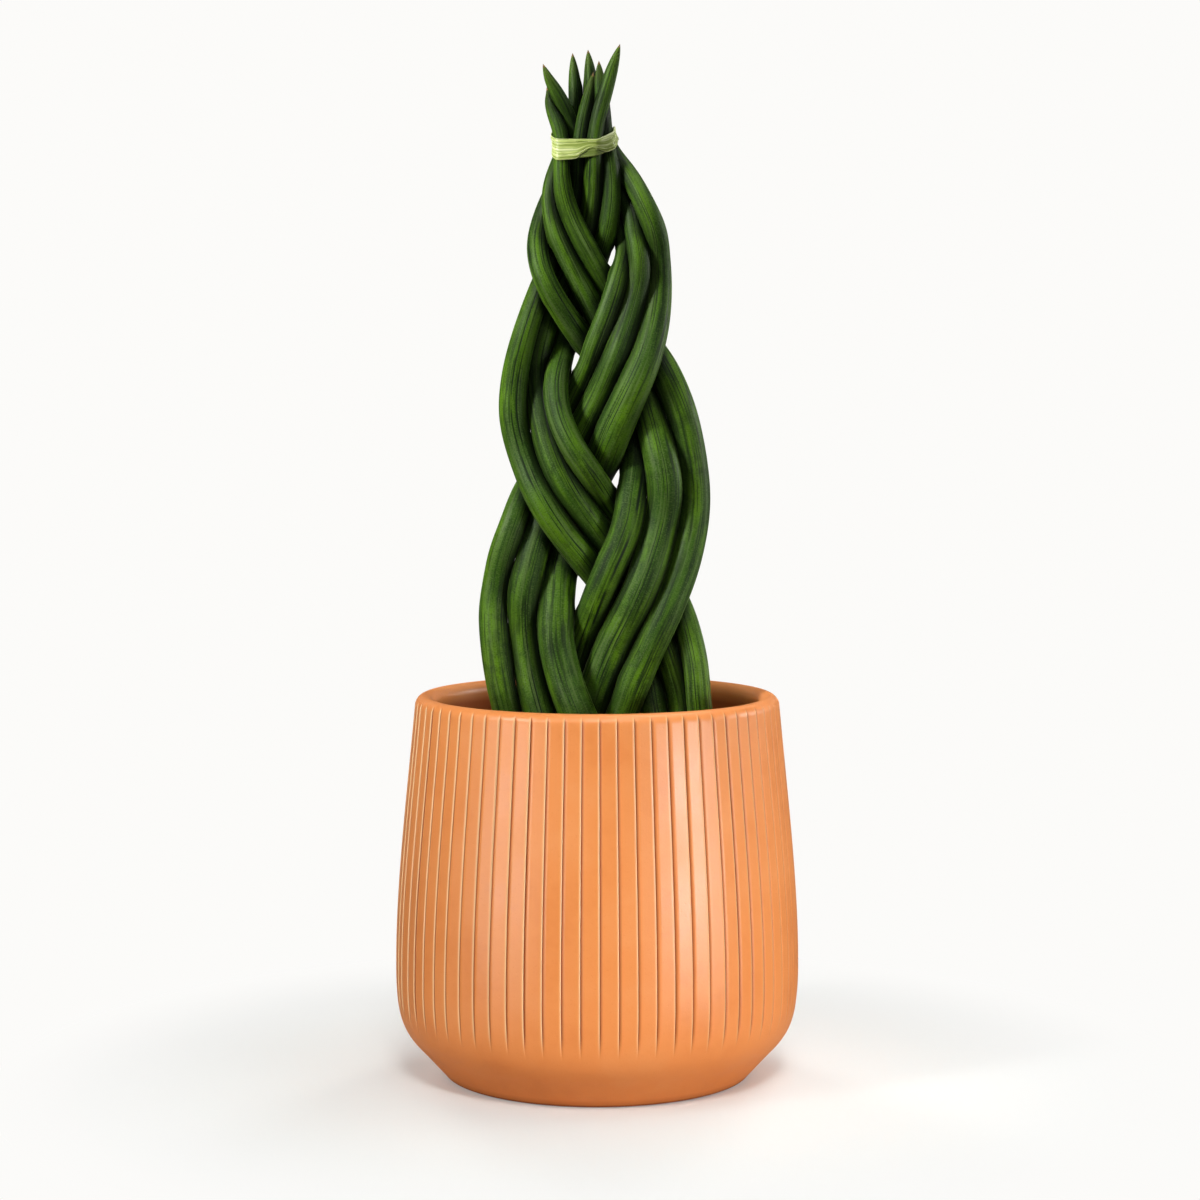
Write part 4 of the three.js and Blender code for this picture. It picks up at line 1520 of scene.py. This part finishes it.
    def loose_fibres(self, loops: list[np.ndarray], material: bpy.types.Material) -> bpy.types.Object:
        """Thin fibres that have split off the outer turn and lie along it.

        Args:
            loops: The taut loops at the lower edge, middle and upper edge.
            material: The strip's material.

        Returns:
            The fibres.
        """
        chance = np.random.default_rng(self.seed)
        points, edges, places = [], [], []
        for _ in range(self.fibres):
            begin = chance.uniform(*self.fibre_begin)
            end = min(begin + chance.uniform(*self.fibre_length), self.turns - self.turn_change)
            wound = np.linspace(begin, end, self.fibre_points)
            slope = chance.uniform(*self.fibre_slant) * np.linspace(-1, 1, self.fibre_points)
            across = np.clip(chance.uniform(*self.fibre_middle) + slope, *self.fibre_limits)
            lift = self.thickness + self.pleat_depth * self.fibre_lift + chance.uniform(0.0, self.fibre_play)
            rows = self.surface(loops, wound, across, np.full(self.fibre_points, lift))
            first = len(points) * self.fibre_points
            edges += [(first + k, first + k + 1) for k in range(self.fibre_points - 1)]
            points.append(rows)
            places.append(self.strip_place(wound, across))
        host = mesh_object("tie_fibres", np.concatenate(points), [], edges)
        set_attribute(host, "strip_place", np.concatenate(places))
        return grow(host, self.fibre_tree(), {"Radius": self.fibre_radius, "Fibre": material})

    def build(self, leaves: list[bpy.types.Object], effects: Effects) -> None:
        """Winds the tie round the finished leaves.

        Args:
            leaves: The leaves that it holds.
            effects: The shared shader groups.
        """
        points = points_of(*leaves)
        loops = [self.loop(points, share) for share in (0.0, 0.5, 1.0)]
        material = self.finish.build(effects)
        strip = self.strip(loops)
        strip.data.materials.append(material)
        settle_piece(strip, "tie_band", "tie_band")
        settle_piece(self.loose_fibres(loops, material), "tie_band")


# ---------------------------------------------------------------- potting mix


@dataclass(frozen=True)
class Strewing:
    """One kind of grain: how many lie on a square metre, the span of their sizes, and their finish."""

    density: float
    smallest: Place
    largest: Place
    seed: int
    finish: GrainFinish


@dataclass
class PottingMix:
    """Peat with bark and perlite on it, filling the pot to a hand's breadth under its lip."""

    top: float = 175 * MM
    clearance: float = 0.35 * MM
    wall_end: float = 4 * MM
    columns: int = 180
    rings: int = 46
    bumps: float = 2.2 * MM
    bump_scale: float = 55.0
    bump_layer: float = 0.3
    slump: float = 2.5 * MM
    slump_reach: float = 8 * MM
    sunk_edge: float = 0.6
    stem_slice: float = 2 * MM
    bare_round_leaf: float = 2.5 * MM
    bare_rim: float = 1 / 12
    most_lean: float = 0.45
    peat: GrainFinish = field(default_factory=lambda: GrainFinish(
        "damp_peat", (0.035, 0.021, 0.013), (0.014, 0.009, 0.006), (0.085, 0.055, 0.034), 260.0))
    grains: dict[Grain, Strewing] = field(default_factory=lambda: {
        Grain.CRUMB: Strewing(130000.0, (0.5, 0.5, 0.4), (1.7, 1.5, 1.1), 21, GrainFinish(
            "peat_crumb", (0.055, 0.033, 0.02), (0.02, 0.012, 0.008), (0.12, 0.075, 0.045), 420.0)),
        Grain.BARK: Strewing(14000.0, (1.6, 1.0, 0.5), (5.2, 2.8, 1.2), 22, GrainFinish(
            "bark_chip", (0.16, 0.075, 0.035), (0.05, 0.026, 0.015), (0.30, 0.17, 0.09), 300.0, 0.85)),
        Grain.PERLITE: Strewing(11000.0, (0.8, 0.8, 0.7), (2.1, 1.9, 1.6), 23, GrainFinish(
            "perlite_grain", (0.72, 0.70, 0.65), (0.45, 0.42, 0.37), (0.86, 0.85, 0.82), 500.0, 0.9)),
    })

    def bed(self, pot: ClayPot, leaves: np.ndarray) -> bpy.types.Object:
        """The closed body of the mix with its uneven top.

        Args:
            pot: The pot that holds it.
            leaves: The leaves' points.

        Returns:
            The body, with the attribute open, which is 1 where grains lie and 0 elsewhere.
        """
        bottom = pot.floor_top + self.clearance
        wall = [(r - self.clearance, max(z, bottom)) for r, z in pot.inner_profile()
                if pot.floor_top <= z <= self.top - self.wall_end and r >= pot.inner_floor_radius][::-1]
        edge = wall[-1][0]
        turn = math.tau * np.arange(self.columns) / self.columns
        stems = leaves[np.abs(leaves[:, 2] - self.top) < self.stem_slice][:, :2]
        rows, bare = [], []
        for radius, height in wall:
            rows.append(np.stack([radius * np.cos(turn), radius * np.sin(turn), turn * 0 + height], axis=1))
            bare.append(turn * 0)
        for ring in range(self.rings):
            share = 1 - ring / self.rings
            x, y = edge * share * np.cos(turn), edge * share * np.sin(turn)
            lumps = np.array([noise.fractal(Vector((a, b, self.bump_layer)), 0.8, 2.0, 4)
                              for a, b in zip(x * self.bump_scale, y * self.bump_scale)])
            from_stems = stems[None, :, :] - np.stack([x, y], axis=1)[:, None, :]
            away = np.linalg.norm(from_stems, axis=2).min(axis=1)
            heap = self.slump * (np.exp(-away / self.slump_reach) - self.sunk_edge * share**6)
            rows.append(np.stack([x, y, self.top + self.bumps * lumps + heap], axis=1))
            bare.append(np.clip(away / self.bare_round_leaf, 0, 1) * min(1.0, (1 - share) / self.bare_rim))
        poles = np.array([[0.0, 0.0, self.top], [0.0, 0.0, bottom]])
        faces: list[tuple[int, ...]] = list(ring_faces(len(rows), self.columns, False))
        last, top_pole = (len(rows) - 1) * self.columns, len(rows) * self.columns
        for k in range(self.columns):
            right = (k + 1) % self.columns
            faces += [(last + k, last + right, top_pole), (right, k, top_pole + 1)]
        made = mesh_object("potting_bed", np.concatenate([*rows, poles]), faces)
        set_attribute(made, "open", np.concatenate([*bare, np.array([1.0, 0.0])]))
        shade_smooth(made)
        return made

    def scatter_tree(self) -> bpy.types.NodeTree:
        """The geometry tree that strews turned and stretched grains over the open top.

        Returns:
            The tree.
        """
        bench, given = new_shaper("strewn grains", {
            "Density": 10000.0, "Smallest": "Vector", "Largest": "Vector", "Seed": 1,
            "Finish": "Material",
        })
        density = bench.times(bench.named("open"), given["Density"])
        spots = bench.node("GeometryNodeDistributePointsOnFaces", {
            "Mesh": given["Geometry"], "Seed": given["Seed"], "Density": density,
        }, distribute_method="RANDOM")
        grain = bench.node("GeometryNodeMeshIcoSphere", {"Radius": 0.5, "Subdivisions": 1}).outputs[0]
        size = bench.chance(given["Smallest"], given["Largest"], VECTOR, Seed=bench.plus(given["Seed"], 5))
        lean = self.most_lean
        lie = bench.chance((-lean, -lean, 0.0), (lean, lean, math.tau), VECTOR,
                           Seed=bench.plus(given["Seed"], 9))
        strewn = bench.node("GeometryNodeInstanceOnPoints", {
            "Points": spots.outputs["Points"], "Instance": grain, "Rotation": lie, "Scale": size,
        })
        return bench.dressed(strewn.outputs[0], given["Finish"])

    def build(self, pot: ClayPot, leaves: list[bpy.types.Object], effects: Effects) -> None:
        """Fills the pot and strews the grains.

        Args:
            pot: The pot that holds the mix.
            leaves: The leaves that stand in it.
            effects: The shared shader groups.
        """
        bed = self.bed(pot, points_of(*leaves))
        bed.data.materials.append(self.peat.build(effects))
        tree = self.scatter_tree()
        for grain, strewing in self.grains.items():
            host = bpy.data.objects.new(grain.value, bed.data)
            bpy.context.scene.collection.objects.link(host)
            grow(host, tree, {
                "Density": strewing.density, "Smallest": [s * MM for s in strewing.smallest],
                "Largest": [s * MM for s in strewing.largest], "Seed": strewing.seed,
                "Finish": strewing.finish.build(effects),
            })
            settle_piece(host, "potting_mix")
        settle_piece(bed, "potting_mix", "potting_mix")


# ---------------------------------------------------------------- studio


@dataclass(frozen=True)
class SoftBox:
    """A rectangular studio light that points at a spot, with its spread in degrees."""

    name: str
    place: Place
    aim: Place
    width: float
    height: float
    watts: float
    colour: Colour = WHITE
    spread: float = 180.0
    reflected: bool = True

    def build(self) -> None:
        """Adds the light to the scene."""
        light = bpy.data.lights.new(self.name, "AREA")
        light.shape = "RECTANGLE"
        light.size, light.size_y = self.width, self.height
        light.energy = self.watts
        light.color = self.colour
        light.spread = math.radians(self.spread)
        made = bpy.data.objects.new(self.name, light)
        made.visible_glossy = self.reflected
        made.location = self.place
        made.rotation_euler = (Vector(self.aim) - Vector(self.place)).to_track_quat("-Z", "Y").to_euler()
        bpy.context.scene.collection.objects.link(made)


@dataclass
class Studio:
    """The pale floor, the lights and the camera."""

    backdrop: Colour = (0.972, 0.965, 0.948)
    floor_seen: Colour = (0.86, 0.90, 0.895)
    floor_glow: float = 0.1
    floor_bounce: Colour = (0.52, 0.40, 0.30)
    floor_haze: float = 0.2
    ambient: float = 0.15
    mirrored: float = 0.08
    floor_size: float = 14.0
    floor_level: float = -0.2 * MM
    clear_from: float = 0.15
    clear_to: float = 0.33
    camera_place: Place = (1.6 * MM, -1549.5 * MM, 379.9 * MM)
    camera_pitch: float = math.radians(4.46)
    camera_reach: Span = (0.05, 50.0)
    focal_share: float = 2861 / 1200
    sensor: float = 36.0
    warm: Colour = (1.0, 0.99, 0.97)

    def lights(self) -> tuple[SoftBox, ...]:
        """The lights: a low one on each side, soft ones from the front and the top, two behind.

        Returns:
            The lights, which aren't built yet.
        """
        foot, behind = (0.0, 0.0, 0.08), (0.0, 0.0, 0.25)
        return (
            SoftBox("key", (1.42, -0.98, 0.14), foot, 0.45, 0.30, 0.43, (1.0, 0.985, 0.96), 24),
            SoftBox("fill", (-1.40, -1.00, 0.14), foot, 0.45, 0.30, 0.22, (1.0, 0.985, 0.97), 24),
            SoftBox("front", (0.10, -1.35, 1.45), (0.0, -0.25, 0.0), 0.8, 0.5, 0.86, self.warm, 24),
            SoftBox("leaf_light", (-1.20, -0.80, 1.15), (0.0, 0.0, 0.46), 0.3, 0.4, 0.85,
                    (1.0, 1.0, 0.96), 26),
            SoftBox("rim", (1.25, 0.35, 0.60), (0.0, 0.0, 0.42), 0.25, 0.5, 0.24, (1.0, 1.0, 0.98), 26),
            SoftBox("back_left", (-0.70, 1.50, 0.80), behind, 0.5, 0.9, 1.6, self.warm, 60, False),
            SoftBox("back_right", (0.70, 1.50, 0.80), behind, 0.5, 0.9, 1.6, self.warm, 60, False),
            SoftBox("top", (0.45, 0.2, 1.9), (0.0, 0.0, 0.3), 1.2, 1.2, 11.0),
        )

    def build_world(self) -> None:
        """The even light from all round, and the backdrop that the camera sees."""
        world = bpy.data.worlds.new("studio")
        world.use_nodes = True
        bpy.context.scene.world = world
        bench = Bench(world.node_tree)
        world.node_tree.nodes.clear()
        path = bench.node("ShaderNodeLightPath").outputs
        skies = (self.backdrop, 1.0), (WHITE, self.ambient), (WHITE, self.mirrored)
        seen, lit, dim = (bench.node("ShaderNodeBackground", {"Color": colour, "Strength": strength})
                          .outputs[0] for colour, strength in skies)
        mixed = bench.layered(path["Is Glossy Ray"], lit, dim)
        mixed = bench.layered(path["Is Camera Ray"], mixed, seen)
        bench.node("ShaderNodeOutputWorld", {0: mixed})

    def build_floor(self) -> None:
        """A pale floor that takes the pot's soft shadow and fades into the backdrop."""
        half = self.floor_size / 2
        corners = np.array([(x * half, y * half, self.floor_level)
                            for x, y in ((-1, -1), (1, -1), (1, 1), (-1, 1))])
        floor = mesh_object("studio_floor", corners, [(0, 1, 2, 3)])
        material = bpy.data.materials.new("studio_floor")
        material.use_nodes = True
        bench = Bench(material.node_tree)
        material.node_tree.nodes.clear()
        x, y, _ = bench.split(bench.place())
        away = bench.vector("LENGTH", bench.join(x, y, 0.0))
        # Near the pot the floor glows at the haze share, which lightens its shadow; farther out it glows
        # fully in the backdrop's colour.
        clear = bench.remap(away, self.clear_from, self.clear_to, self.floor_haze, 1.0)
        seen = bench.node("ShaderNodeLightPath").outputs["Is Camera Ray"]
        tone = bench.blend(seen, self.floor_bounce, self.floor_seen)
        matte = bench.node("ShaderNodeBsdfDiffuse", {"Color": tone}).outputs[0]
        strength = bench.remap(seen, 0.0, 1.0, self.floor_glow, 1.0)
        glow = bench.node("ShaderNodeEmission", {"Color": self.backdrop, "Strength": strength}).outputs[0]
        bench.node("ShaderNodeOutputMaterial", {0: bench.layered(clear, matte, glow)})
        floor.data.materials.append(material)

    def build_camera(self) -> None:
        """The camera, level with the lower half of the braid and tipped a little down."""
        camera = bpy.data.cameras.new("camera")
        camera.sensor_width = self.sensor
        camera.lens = self.sensor * self.focal_share
        camera.clip_start, camera.clip_end = self.camera_reach
        made = bpy.data.objects.new("camera", camera)
        made.location = self.camera_place
        made.rotation_euler = (math.pi / 2 - self.camera_pitch, 0.0, 0.0)
        bpy.context.scene.collection.objects.link(made)
        bpy.context.scene.camera = made

    def build(self) -> None:
        """Sets up the whole studio."""
        bpy.context.scene.view_settings.view_transform = "Standard"
        self.build_world()
        self.build_floor()
        self.build_camera()
        for light in self.lights():
            light.build()


def main() -> None:
    """Builds the studio and every piece of the plant, in order."""
    logging.basicConfig(level=logging.INFO, format="%(name)s %(message)s")
    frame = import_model()
    effects = Effects()
    Studio().build()
    pot = ClayPot()
    pot.build(effects)
    leaves = LeafGrower().build(frame, effects)
    TieStrip().build(leaves, effects)
    PottingMix().build(pot, leaves, effects)


if __name__ == "__main__":
    main()
